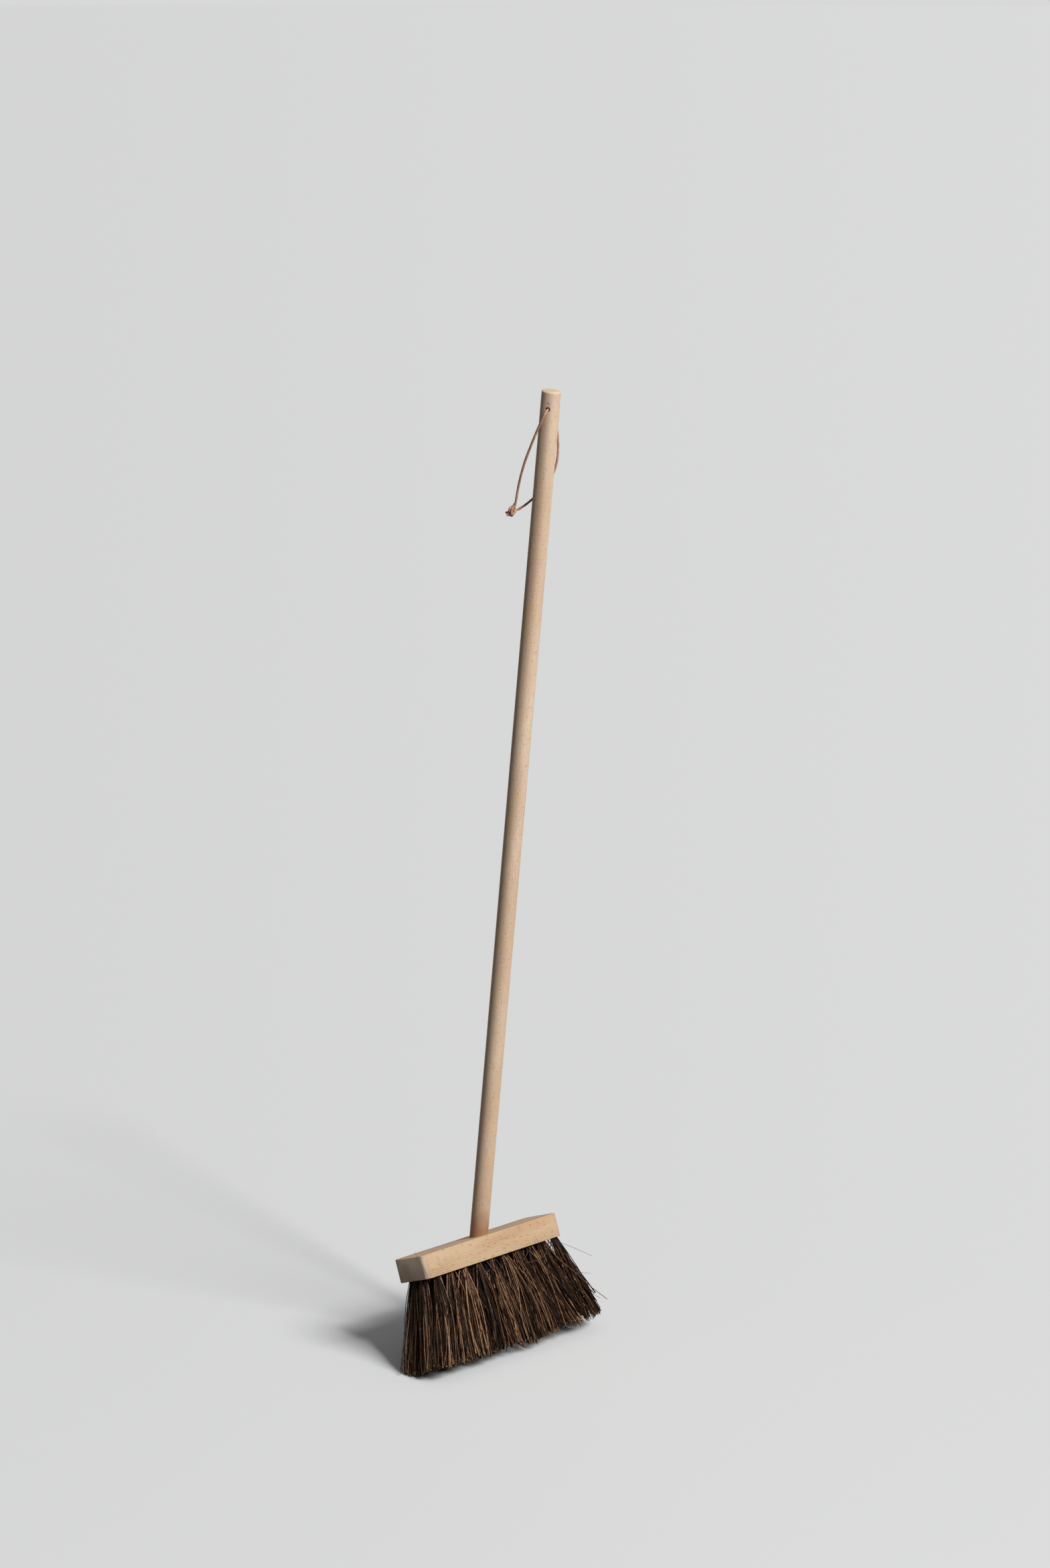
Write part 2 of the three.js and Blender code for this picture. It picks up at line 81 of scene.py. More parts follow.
# The handle: its frame has Z up the handle, from where its axis meets the head's top
SOCKET_ANGLE = math.radians(26.5)
SOCKET_FRONT_OFFSET = 5.5 * MM
SOCKET_DEPTH = 24 * MM
HANDLE_LENGTH = 1150 * MM
HANDLE_RADIUS = 12 * MM
FIT_GAP = 0.3 * MM
HANDLE_TURN = Matrix.Rotation(SOCKET_ANGLE - HEAD_TILT, 4, "X")
HANDLE_ORIGIN = HEAD_FRAME @ Vector((0, -SOCKET_FRONT_OFFSET, HEAD_THICKNESS / 2))
HANDLE_FRAME = Matrix.Translation(HANDLE_ORIGIN) @ HANDLE_TURN
HANDLE_AXIS = HANDLE_TURN @ Vector((0, 0, 1))
HANDLE_FOOT = FIT_GAP - SOCKET_DEPTH
HANDLE_TOP = HANDLE_FOOT + HANDLE_LENGTH

# The cross hole: its frame has X to the handle's left, Y out along the hole
HOLE_TURN = Matrix.Rotation(math.pi - math.radians(58.5), 4, "Z")
HOLE_DIAMETER = 6 * MM
HOLE_FRAME = Matrix.Translation(HOLE_CENTRE) @ HANDLE_TURN @ HOLE_TURN

# The tufts, in the head's frame: each row is shifted along the head by a share of the pitch
ROW_SHIFTS = (0.3, -0.2, -0.1, 0.1)
TUFT_ROWS = len(ROW_SHIFTS)
TUFTS_PER_ROW = 10
TUFT_PITCH = 23.5 * MM
ROW_PITCH = 13.333 * MM
TIP_TUFT_PITCH = 31.5 * MM
TIP_ROW_PITCH = 15.133 * MM
# Holes that would meet the socket: row and place in it
NO_TUFTS = ((1, 5), (2, 4), (2, 5))
TUFT_HOLE_DIAMETER = 9 * MM
TUFT_HOLE_DEPTH = 12 * MM
STRAND_LENGTH = 122 * MM

# One fibre: its rings as shares of its length, and what of its width is left at the tip
FIBRE_SIDES = 6
FIBRE_RINGS = (0, 0.08, 0.18, 0.3, 0.43, 0.57, 0.7, 0.83, 0.93, 0.992, 1)
FIBRE_CUT_FROM = 0.996
FIBRE_TIP = 0.8
FIBRE_TAPER = 0.12
# How much sooner a fibre goes sideways than down
SIDEWAYS_LEAD = 0.1
# Its heading is measured between two shares of its length, this much before and after
HEADING_STEP = 0.01
# How far each fibre's skin pattern is moved, by its tone round it and by its turn along it
SKIN_SHIFTS = (37, 11)

# The loop's centre line in millimetres, in the hole's frame: sideways to the left,
# outwards along the hole, downwards along the handle
LOOP_ROUTE = (
    (35.4, 0.6, 133.4), (33.4, 1.6, 126.4), (31.9, 2.8, 117.0), (30.7, 4.2, 105.6),
    (28.9, 6.0, 93.6), (26.6, 7.8, 81.6), (23.8, 9.6, 69.6), (20.3, 11.4, 57.6),
    (16.6, 13.2, 46.0), (12.9, 14.9, 34.8), (9.3, 16.2, 24.6), (5.7, 17.2, 15.4),
    (2.5, 16.8, 7.0), (1.6, 15.9, 4.4), (0.8, 14.2, 2.2), (0.2, 11.8, 0.7),
    (0.0, 9.0, 0.0), (0.0, 3.0, 0.0), (0.0, -3.0, 0.0), (0.0, -9.0, 0.0),
    (-0.2, -11.8, 0.7), (-0.6, -14.2, 2.2), (-1.2, -15.9, 4.5), (-1.9, -16.8, 7.2),
    (-3.9, -17.3, 15.0), (-6.2, -17.0, 23.6), (-8.6, -16.7, 33.8), (-10.5, -16.4, 45.0),
    (-11.4, -16.2, 57.0), (-11.0, -16.1, 69.0), (-8.8, -16.1, 80.6), (-4.6, -16.1, 91.4),
    (1.4, -15.9, 101.4), (8.0, -15.0, 110.4), (14.4, -12.6, 118.2), (20.5, -9.3, 124.6),
    (26.4, -5.5, 129.6), (31.0, -2.2, 132.4), (35.0, 0.0, 133.6),
)
KNOT_CENTRE = (35.6, 0.4, 133.6)
# How strongly the lace's thickness goes back to even, and how far chance moves it
LACE_EVENING = 0.3
LACE_UNEVENNESS = 0.035
LACE_SIDES = 16
LACE_SMOOTH_ANGLE = math.radians(50)
WOOD_SMOOTH_ANGLE = math.radians(32)


def hole_place(point):
    """A point of the loop's route, in millimetres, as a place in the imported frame."""
    side, out, down = point
    return HOLE_FRAME @ (Vector((side, out, -down)) * MM)


def smooth_route(points, steps):
    """Points along the smooth curve through the given ones, so many for each span."""
    ends = [points[0] * 2 - points[1], *points, points[-1] * 2 - points[-2]]
    dense = []
    for a, b, c, d in zip(ends, ends[1:], ends[2:], ends[3:]):
        t1 = math.sqrt((b - a).length)
        t2 = t1 + math.sqrt((c - b).length)
        t3 = t2 + math.sqrt((d - c).length)
        for i in range(steps):
            t = t1 + (t2 - t1) * i / steps
            ab = a.lerp(b, t / t1)
            bc = b.lerp(c, (t - t1) / (t2 - t1))
            cd = c.lerp(d, (t - t2) / (t3 - t2))
            abc = ab.lerp(bc, t / t2)
            bcd = bc.lerp(cd, (t - t1) / (t3 - t1))
            dense.append(abc.lerp(bcd, (t - t1) / (t2 - t1)))
    dense.append(points[-1].copy())
    return dense


# Mesh tools


def start_piece():
    """Selects nothing, so that an operator acts on the next piece alone."""
    bpy.ops.object.select_all(action="DESELECT")


def pick(piece):
    start_piece()
    piece.select_set(True)
    bpy.context.view_layer.objects.active = piece


def add_object(name, data):
    piece = bpy.data.objects.new(name, data)
    bpy.context.collection.objects.link(piece)
    return piece


def add_cylinder(radius, bottom, top, sides):
    start_piece()
    bpy.ops.mesh.primitive_cylinder_add(
        vertices=sides, radius=radius, depth=top - bottom, location=(0, 0, (top + bottom) / 2)
    )
    bpy.ops.object.transform_apply(location=True, rotation=False, scale=False)
    return bpy.context.object


def add_tube(name, route, radius, growths, steps):
    """A closed round tube along the route, each point's radius multiplied by its growth."""
    start_piece()
    line = bpy.data.curves.new(name, "CURVE")
    line.dimensions = "3D"
    line.bevel_depth = radius
    line.bevel_resolution = steps
    line.use_fill_caps = True
    spline = line.splines.new("POLY")
    spline.points.add(len(route) - 1)
    for point, place, growth in zip(spline.points, route, growths):
        point.co = (*place, 1)
        point.radius = growth
    pick(add_object(name, line))
    bpy.ops.object.convert(target="MESH")
    return bpy.context.object


def bevel_edges(piece, test, size, steps):
    """Bevels the edges whose two ends pass the test."""
    pick(piece)
    bpy.ops.object.mode_set(mode="EDIT")
    bpy.ops.mesh.select_mode(type="EDGE")
    bpy.ops.mesh.select_all(action="DESELECT")
    bpy.ops.object.mode_set(mode="OBJECT")
    places = [vertex.co for vertex in piece.data.vertices]
    for edge in piece.data.edges:
        edge.select = test(*(places[end] for end in edge.vertices))
    bpy.ops.object.mode_set(mode="EDIT")
    bpy.ops.mesh.bevel(offset=size, segments=steps, affect="EDGES")
    bpy.ops.object.mode_set(mode="OBJECT")


def cut_away(piece, cutter):
    """Takes the cutter's shape out of the piece and deletes the cutter."""
    cut = piece.modifiers.new("cut", "BOOLEAN")
    cut.operation = "DIFFERENCE"
    cut.solver = "EXACT"
    cut.object = cutter
    pick(piece)
    bpy.ops.object.modifier_apply(modifier=cut.name)
    bpy.data.objects.remove(cutter)


def join_pieces(pieces):
    pick(pieces[0])
    for piece in pieces:
        piece.select_set(True)
    bpy.ops.object.join()
    return bpy.context.object


def finish_piece(piece, name, material, body):
    """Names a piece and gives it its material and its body."""
    start_piece()
    piece.name = name
    piece.data.name = name
    piece.data.materials.clear()
    piece.data.materials.append(material)
    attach(piece, body)


def finish_wood(piece, place, name, material):
    """Smooths a wooden piece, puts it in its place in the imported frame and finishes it."""
    pick(piece)
    bpy.ops.object.shade_smooth_by_angle(angle=WOOD_SMOOTH_ANGLE)
    piece.data.transform(place)
    piece.data.update()
    finish_piece(piece, name, material, "broom")


# Material tools


def feed(tree, node, inputs):
    """Fills a node's inputs, each with a plain value, a colour or another node's output."""
    for name, value in inputs.items():
        socket = node.inputs[name]
        if isinstance(value, bpy.types.NodeSocket):
            tree.links.new(value, socket)
        elif socket.type == "RGBA":
            socket.default_value = (*value, 1)
        else:
            socket.default_value = value


def add_node(tree, kind, inputs=None, **settings):
    node = tree.nodes.new("ShaderNode" + kind)
    for name, value in settings.items():
        setattr(node, name, value)
    feed(tree, node, inputs or {})
    return node


def maths(tree, operation, *values):
    inputs = dict(enumerate(values))
    return add_node(tree, "Math", inputs, operation=operation).outputs[0]


def split(tree, vector):
    return add_node(tree, "SeparateXYZ", {0: vector}).outputs


def combine(tree, *parts):
    return add_node(tree, "CombineXYZ", dict(enumerate(parts))).outputs[0]


def stretch(tree, vector, scale):
    """A vector multiplied part by part, to stretch or squeeze a pattern."""
    inputs = {0: vector, 1: scale}
    return add_node(tree, "VectorMath", inputs, operation="MULTIPLY").outputs[0]


def mapped(tree, vector, rotation, centre=(0, 0, 0), kind="POINT"):
    """A vector turned; of kind TEXTURE, the place that it has in a turned frame at the centre."""
    inputs = {"Vector": vector, "Location": centre, "Rotation": rotation}
    return add_node(tree, "Mapping", inputs, vector_type=kind).outputs[0]


def noise(tree, vector, scale=1.0, detail=2.0, roughness=0.5):
    inputs = {"Vector": vector, "Scale": scale, "Detail": detail, "Roughness": roughness}
    return add_node(tree, "TexNoise", inputs).outputs[0]


def between(tree, value, low, high, to_low=0.0, to_high=1.0, way="LINEAR"):
    """The value's place between low and high, held inside the two new ends."""
    inputs = {
        "Value": value, "From Min": low, "From Max": high, "To Min": to_low, "To Max": to_high,
    }
    return add_node(tree, "MapRange", inputs, interpolation_type=way).outputs[0]


def blend(tree, share, low, high):
    """Two colours mixed: the low one at share 0, the high one at share 1."""
    inputs = {0: share, 6: low, 7: high}
    return add_node(tree, "Mix", inputs, data_type="RGBA").outputs[2]


def bump(tree, height, strength, depth):
    inputs = {"Height": height, "Strength": strength, "Distance": depth}
    return add_node(tree, "Bump", inputs).outputs[0]


def new_group(name, inputs, outputs):
    """An empty shader group; an input without a value is a vector. Gives its two end nodes too."""
    group = bpy.data.node_groups.new(name, "ShaderNodeTree")
    for socket, value in inputs.items():
        kind = "NodeSocketVector" if value is None else "NodeSocketFloat"
        made = group.interface.new_socket(name=socket, in_out="INPUT", socket_type=kind)
        if value is not None:
            made.default_value = value
    for socket in outputs:
        group.interface.new_socket(name=socket, in_out="OUTPUT", socket_type="NodeSocketFloat")
    return group, group.nodes.new("NodeGroupInput"), group.nodes.new("NodeGroupOutput")


def material_from(make, settings):
    """The material named after the function that makes it, made when it is first asked for.

    The function gets the tree and the settings and returns the shader's inputs.
    """
    if make.__name__ not in bpy.data.materials:
        material = bpy.data.materials.new(make.__name__)
        material.use_nodes = True
        tree = material.node_tree
        feed(tree, tree.nodes["Principled BSDF"], make(tree, settings))
    return bpy.data.materials[make.__name__]


def object_place(tree):
    return add_node(tree, "TexCoord").outputs["Object"]


def seen_rays(tree):
    """1 for rays from the camera, also those that a shiny or clear surface sends on."""
    rays = add_node(tree, "LightPath").outputs
    seen = maths(tree, "MAXIMUM", rays["Is Camera Ray"], rays["Is Glossy Ray"])
    return maths(tree, "MAXIMUM", seen, rays["Is Transmission Ray"])


# Where most of a noise's values lie, and where nearly all of them do
NOISE_MIDDLE = (0.35, 0.65)
NOISE_WHOLE = (0.3, 0.7)

# Fibre: cells of its streaks and of its patches, round it and along it
STREAK_CELLS = (9, 55, 1)
PATCH_CELLS = (1.5, 28, 1)
# How strongly patches change its tone, and where brown and tan begin and end in that
PATCH_SHARE = 0.8
BROWN_RANGE = (0.15, 0.5)
TAN_RANGE = (0.5, 0.95)

# Leather: scales of its mottling, its grain and its worn nicks, and what counts as a nick
MOTTLE_SCALE = 170
GRAIN_SCALE = 2400
NICK_SCALE = 620
NICK_RANGE = (0.63, 0.68)

# Wire: how far its drawn lines are squeezed along it and across it
WIRE_SQUEEZE = (200, 2500, 2500)

# Wood: how far its patterns are squeezed along the grain, across the rings and along them
WARP_SQUEEZE = (9, 30, 30)
TONE_SQUEEZE = (7, 55, 42)
PORE_SQUEEZE = (90, 640, 640)
FLECK_SQUEEZE = (88, 380, 620)
# Scales of the noise that shifts the rings along the grain and spaces them unevenly
DRIFT_SCALE = 3.1
SPACING_SCALE = 310
# How sharply a year ring darkens towards its end
LATE_WOOD_POWER = 3.0
# A fleck fades between these distances from its middle, and over this share of all flecks
FLECK_RIM = (0.29, 0.2)
FLECK_FADE = 0.2
# Where tone lies in its noise, and what is left of the rings where the tone is pale
TONE_RANGE = (0.28, 0.72)
RING_RANGE = (0.38, 0.62, 0.2, 1.0)
PORE_SHARE = 0.17
WOOD_GLOSS = 0.22
# A surface counts as end grain from the first to the second share of facing the grain
END_GRAIN = (0.45, 0.9)
# How far up the handle's reddish heart reaches, and how strong it is at the foot
HEART_REACHES = ((130 * MM, 0.3), (34 * MM, 0.8))
HEART_SQUEEZE = (90, 90, 60)
HEART_WANDER = 20 * MM


def beech_figure():
    """Solid beech: X runs along the grain, Y across the year rings, Z along them.

    Tone is the slow change of colour, Rings the dark edge of each year ring, Flecks
    the ends of the rays, Pores the fine streaks of the vessels.
    """
    group, given, result = new_group(
        "beech_figure",
        {
            "Position": None, "Ring Width": 1.1 * MM, "Ring Slope": 0.2, "Ring Climb": 0.0,
            "Ring Drift": 0.0, "Ring Warp": 0.003, "Ring Unevenness": 0.9, "Fleck Share": 0.5,
            "Fleck Scale": 1.0,
        },
        ("Tone", "Rings", "Flecks", "Pores"),
    )
    given = given.outputs
    place = given["Position"]
    along, across, aside = split(group, place)
    warp = noise(group, stretch(group, place, WARP_SQUEEZE), detail=1)
    drift = noise(group, combine(group, along), scale=DRIFT_SCALE, detail=0)
    depth = across
    for shift, amount in (
        (aside, "Ring Slope"),
        (along, "Ring Climb"),
        (maths(group, "SUBTRACT", warp, 0.5), "Ring Warp"),
        (maths(group, "SUBTRACT", drift, 0.5), "Ring Drift"),
    ):
        depth = maths(group, "MULTIPLY_ADD", shift, given[amount], depth)
    spacing = noise(group, combine(group, depth), scale=SPACING_SCALE, detail=1)
    year = maths(group, "DIVIDE", depth, given["Ring Width"])
    year = maths(group, "MULTIPLY_ADD", spacing, given["Ring Unevenness"], year)
    late = maths(group, "POWER", maths(group, "FRACT", year), LATE_WOOD_POWER)

    cells = add_node(
        group, "TexVoronoi",
        {"Vector": stretch(group, place, FLECK_SQUEEZE), "Scale": given["Fleck Scale"]},
    ).outputs
    chance = add_node(group, "SeparateColor", {0: cells["Color"]}).outputs[0]
    kept = between(group, maths(group, "SUBTRACT", given["Fleck Share"], chance), 0, FLECK_FADE)
    dash = between(group, cells["Distance"], *FLECK_RIM)

    tone = noise(group, stretch(group, place, TONE_SQUEEZE))
    pores = noise(group, stretch(group, place, PORE_SQUEEZE), roughness=0.7)
    feed(group, result, {
        "Tone": between(group, tone, *TONE_RANGE),
        "Rings": maths(group, "MULTIPLY", late, between(group, tone, *RING_RANGE)),
        "Flecks": maths(group, "MULTIPLY", dash, kept),
        "Pores": between(group, pores, *NOISE_WHOLE),
    })
    return group


def beech(tree, grain, settings, values):
    """The beech figure's outputs at the place in the grain, and the colour of its long sides."""
    group = bpy.data.node_groups.get("beech_figure") or beech_figure()
    inputs = {"Position": grain, "Ring Width": settings.ring_width, **values}
    figure = add_node(tree, "Group", inputs, node_tree=group).outputs
    colour = blend(tree, figure["Tone"], settings.light_colour, settings.warm_colour)
    for mark, share in (
        ("Rings", settings.ring_share), ("Pores", PORE_SHARE), ("Flecks", settings.fleck_share),
    ):
        amount = maths(tree, "MULTIPLY", figure[mark], share)
        colour = blend(tree, amount, colour, settings.dark_colour)
    return figure, colour


def show_ends(tree, colour, rings, axis, end_colour, ring_colour):
    """The colour, with end grain where the surface is cut across the axis."""
    normal = add_node(tree, "TexCoord").outputs["Normal"]
    facing = add_node(
        tree, "VectorMath", {0: normal, 1: axis}, operation="DOT_PRODUCT"
    ).outputs["Value"]
    share = between(tree, maths(tree, "ABSOLUTE", facing), *END_GRAIN)
    return blend(tree, share, colour, blend(tree, rings, end_colour, ring_colour))


def planed_beech(tree, settings):
    grain = mapped(tree, object_place(tree), (-HEAD_TILT, 0, 0), HEAD_CENTRE, "TEXTURE")
    figure, colour = beech(tree, grain, settings, {
        "Ring Slope": 0.5, "Ring Drift": 0.004, "Ring Warp": 0.0034, "Fleck Share": 0.68,
    })
    colour = show_ends(
        tree, colour, figure["Rings"], (1, 0, 0), settings.end_colour, settings.end_ring_colour
    )
    relief = maths(tree, "MULTIPLY_ADD", figure["Flecks"], -0.7, figure["Pores"])
    relief = maths(tree, "MULTIPLY_ADD", figure["Rings"], -0.3, relief)
    return {
        "Base Color": colour,
        "Roughness": between(tree, figure["Pores"], 0, 1, 0.52, 0.68),
        "Normal": bump(tree, relief, strength=0.35, depth=0.12 * MM),
        "Specular IOR Level": WOOD_GLOSS,
    }


def turned_beech(tree, settings):
    lean = (SOCKET_ANGLE - HEAD_TILT, 0, 0)
    upright = mapped(tree, object_place(tree), lean, HANDLE_ORIGIN, "TEXTURE")
    side, depth, rise = split(tree, mapped(tree, upright, (0, 0, settings.grain_turn)))
    figure, colour = beech(tree, combine(tree, rise, depth, side), settings, {
        "Ring Slope": 0.1, "Ring Climb": -0.2, "Ring Drift": 0.03, "Ring Warp": 0.006,
        "Ring Unevenness": 2.6, "Fleck Share": 0.5, "Fleck Scale": 1.9,
    })
    wander = noise(tree, stretch(tree, upright, HEART_SQUEEZE), detail=1)
    height = maths(tree, "MULTIPLY_ADD", wander, -HEART_WANDER, split(tree, upright)[2])
    for reach, share in HEART_REACHES:
        heart = between(tree, height, reach, 0.0, 0.0, share)
        colour = blend(tree, heart, colour, settings.heart_colour)
    colour = show_ends(
        tree, colour, figure["Rings"], HANDLE_AXIS, settings.end_colour, settings.dark_colour
    )
    relief = maths(tree, "MULTIPLY_ADD", figure["Flecks"], -0.6, figure["Pores"])
    return {
        "Base Color": colour,
        "Roughness": between(tree, figure["Pores"], 0, 1, 0.45, 0.62),
        "Normal": bump(tree, relief, strength=0.3, depth=0.1 * MM),
        "Specular IOR Level": WOOD_GLOSS,
    }


def plant_fibre(tree, settings):
    """Brown plant fibre, by each one's tone, cut end and place on its skin."""
    tone, cut = (
        add_node(tree, "Attribute", attribute_name=name).outputs["Fac"]
        for name in ("fibre_tone", "fibre_cut")
    )
    skin = add_node(tree, "UVMap").outputs[0]
    streaks = noise(tree, stretch(tree, skin, STREAK_CELLS))
    patches = noise(tree, stretch(tree, skin, PATCH_CELLS))
    patches = maths(tree, "SUBTRACT", patches, 0.5)
    shade = maths(tree, "MULTIPLY_ADD", patches, PATCH_SHARE, tone)
    brown, tan = between(tree, shade, *BROWN_RANGE), between(tree, shade, *TAN_RANGE)
    colour = blend(tree, brown, settings.dark_colour, settings.brown_colour)
    colour = blend(tree, tan, colour, settings.tan_colour)
    darker = between(tree, streaks, *NOISE_MIDDLE, 0.7, 0.0)
    colour = blend(tree, darker, colour, settings.dark_colour)
    return {
        "Base Color": blend(tree, cut, colour, settings.cut_colour),
        "Roughness": between(tree, streaks, *NOISE_WHOLE, 0.5, 0.36),
        "Normal": bump(tree, streaks, strength=0.5, depth=0.12 * MM),
        "Specular IOR Level": 0.08,
    }


def tan_leather(tree, settings):
    place = object_place(tree)
    mottle = between(tree, noise(tree, place, MOTTLE_SCALE, detail=3), *NOISE_MIDDLE)
    grain = noise(tree, place, GRAIN_SCALE, detail=3)
    nicks = between(tree, noise(tree, place, NICK_SCALE), *NICK_RANGE)
    colour = blend(tree, mottle, settings.light_colour, settings.dark_colour)
    colour = blend(tree, maths(tree, "MULTIPLY", nicks, 0.5), colour, settings.nick_colour)
    fine = between(tree, grain, *NOISE_MIDDLE, 0.0, 0.3)
    relief = maths(tree, "MULTIPLY_ADD", nicks, -1.2, grain)
    return {
        "Base Color": blend(tree, fine, colour, settings.dark_colour),
        "Roughness": between(tree, grain, *NOISE_WHOLE, 0.6, 0.82),
        "Normal": bump(tree, relief, strength=0.6, depth=0.15 * MM),
        "Specular IOR Level": 0.3,
    }


def drawn_wire(tree, settings):
    lines = noise(tree, stretch(tree, object_place(tree), WIRE_SQUEEZE))
    return {
        "Base Color": blend(tree, lines, settings.dark_colour, settings.light_colour),
        "Roughness": between(tree, lines, *NOISE_WHOLE, 0.28, 0.45),
        "Normal": bump(tree, lines, strength=0.3, depth=0.05 * MM),
        "Metallic": 1,
    }


# Settings of each piece


def colour_setting(name, description, default):
    return bpy.props.FloatVectorProperty(
        name=name, description=description, subtype="COLOR", default=default, min=0, max=1
    )


def length_setting(name, description, default):
    return bpy.props.FloatProperty(
        name=name, description=description, default=default, min=0, unit="LENGTH", precision=4
    )


def strength_setting(name, description, default):
    return bpy.props.FloatProperty(name=name, description=description, default=default, min=0)


def share_setting(name, description, default):
    return bpy.props.FloatProperty(
        name=name, description=description, subtype="FACTOR", default=default, min=0, max=1
    )


def angle_setting(name, description, degrees):
    return bpy.props.FloatProperty(
        name=name, description=description, subtype="ANGLE", default=math.radians(degrees)
    )


def count_setting(name, description, default, least):
    return bpy.props.IntProperty(name=name, description=description, default=default, min=least)


class BroomStageSettings(bpy.types.PropertyGroup):
    floor_colour: colour_setting("Floor", "Colour of the floor", (0.63, 0.635, 0.633))
    backdrop_colour: colour_setting("Backdrop", "Colour behind the floor", (0.684, 0.686, 0.685))
    bounce_share: share_setting("Bounce", "Share of its colour that the floor throws back", 0.08)
    ceiling_strength: strength_setting("Ceiling", "Light from straight above", 0.4)
    shade_strength: strength_setting("Shade", "Light from all round", 0.025)
    flash_strength: strength_setting("Flash", "Strength of the small lamp", 0.7)
    flash_azimuth: angle_setting("Flash azimuth", "Where the small lamp stands, from +X", -100.5)
    flash_elevation: angle_setting("Flash elevation", "Height of the small lamp", 43.5)
    flash_spread: angle_setting("Flash spread", "Angle that the small lamp fills", 6)
    window_strength: strength_setting("Window", "Strength of the wide lamp", 3.45)
    window_azimuth: angle_setting("Window azimuth", "Where the wide lamp stands, from +X", -88)
    window_elevation: angle_setting("Window elevation", "Height of the wide lamp", 42.5)
    window_spread: angle_setting("Window spread", "Angle that the wide lamp fills", 24)
    focal_length: bpy.props.FloatProperty(
        name="Lens", description="Focal length on a 36 mm long side", default=85.23, min=1
    )


class BroomHeadSettings(bpy.types.PropertyGroup):
    corner_radius: length_setting("Corner radius", "Radius of the upright corners", 8 * MM)
    edge_ease: length_setting("Edge ease", "Rounding of all other edges", 0.8 * MM)
    ring_width: length_setting("Ring width", "Width of a year ring", 1.5 * MM)
    ring_share: share_setting("Rings", "How dark the year rings are", 0.54)
    fleck_share: share_setting("Flecks", "How dark the ends of the rays are", 0.8)
    light_colour: colour_setting("Light wood", "Palest wood", (0.53, 0.38, 0.242))
    warm_colour: colour_setting("Warm wood", "Warmer bands of the wood", (0.465, 0.30, 0.175))
    dark_colour: colour_setting("Dark wood", "Rings, pores and rays", (0.27, 0.13, 0.06))
    end_colour: colour_setting("End grain", "Wood cut across the grain", (0.80, 0.62, 0.47))
    end_ring_colour: colour_setting("End rings", "Rings in the end grain", (0.11, 0.068, 0.048))


class BroomHandleSettings(bpy.types.PropertyGroup):
    sides: count_setting("Sides", "Faces round the handle", 96, 24)
    end_round: length_setting("End round", "Rounding of the handle's end", 2.5 * MM)
    foot_chamfer: length_setting("Foot chamfer", "Chamfer of the foot in the socket", 1.2 * MM)
    grain_turn: angle_setting("Grain turn", "Turn of the year rings round the handle", 40)
    ring_width: length_setting("Ring width", "Width of a year ring", 0.7 * MM)
    ring_share: share_setting("Rings", "How dark the year rings are", 0.36)
    fleck_share: share_setting("Flecks", "How dark the ends of the rays are", 0.72)
    light_colour: colour_setting("Light wood", "Palest wood", (0.83, 0.635, 0.465))
    warm_colour: colour_setting("Warm wood", "Warmer bands of the wood", (0.74, 0.52, 0.35))
    dark_colour: colour_setting("Dark wood", "Rings, pores and rays", (0.30, 0.165, 0.09))
    heart_colour: colour_setting("Heart wood", "Reddish wood near the head", (0.28, 0.13, 0.06))
    end_colour: colour_setting("End grain", "Wood cut across the grain", (0.62, 0.45, 0.29))


class BroomBristleSettings(bpy.types.PropertyGroup):
    fibres_per_tuft: count_setting("Fibres", "Fibre ends in one tuft", 72, 1)
    fibre_width: length_setting("Fibre width", "Usual width of a fibre", 1.2 * MM)
    dark_colour: colour_setting("Dark fibre", "Darkest fibres", (0.007, 0.003, 0.002))
    brown_colour: colour_setting("Brown fibre", "Most fibres", (0.098, 0.044, 0.021))
    tan_colour: colour_setting("Tan fibre", "Palest fibres", (0.50, 0.275, 0.145))
    cut_colour: colour_setting("Cut end", "A fibre's core", (0.50, 0.34, 0.20))


class BroomLoopSettings(bpy.types.PropertyGroup):
    cord_diameter: length_setting("Lace diameter", "Thickness of the leather lace", 3 * MM)
    light_colour: colour_setting("Light leather", "Palest leather", (0.66, 0.385, 0.245))
    dark_colour: colour_setting("Dark leather", "Darker patches", (0.44, 0.225, 0.13))
    nick_colour: colour_setting("Nicks", "Small worn nicks", (0.20, 0.095, 0.05))


class BroomStapleSettings(bpy.types.PropertyGroup):
    dark_colour: colour_setting("Dark wire", "Darkest lines of the wire", (0.32, 0.32, 0.33))
    light_colour: colour_setting("Light wire", "Palest lines of the wire", (0.62, 0.62, 0.63))


# Pieces


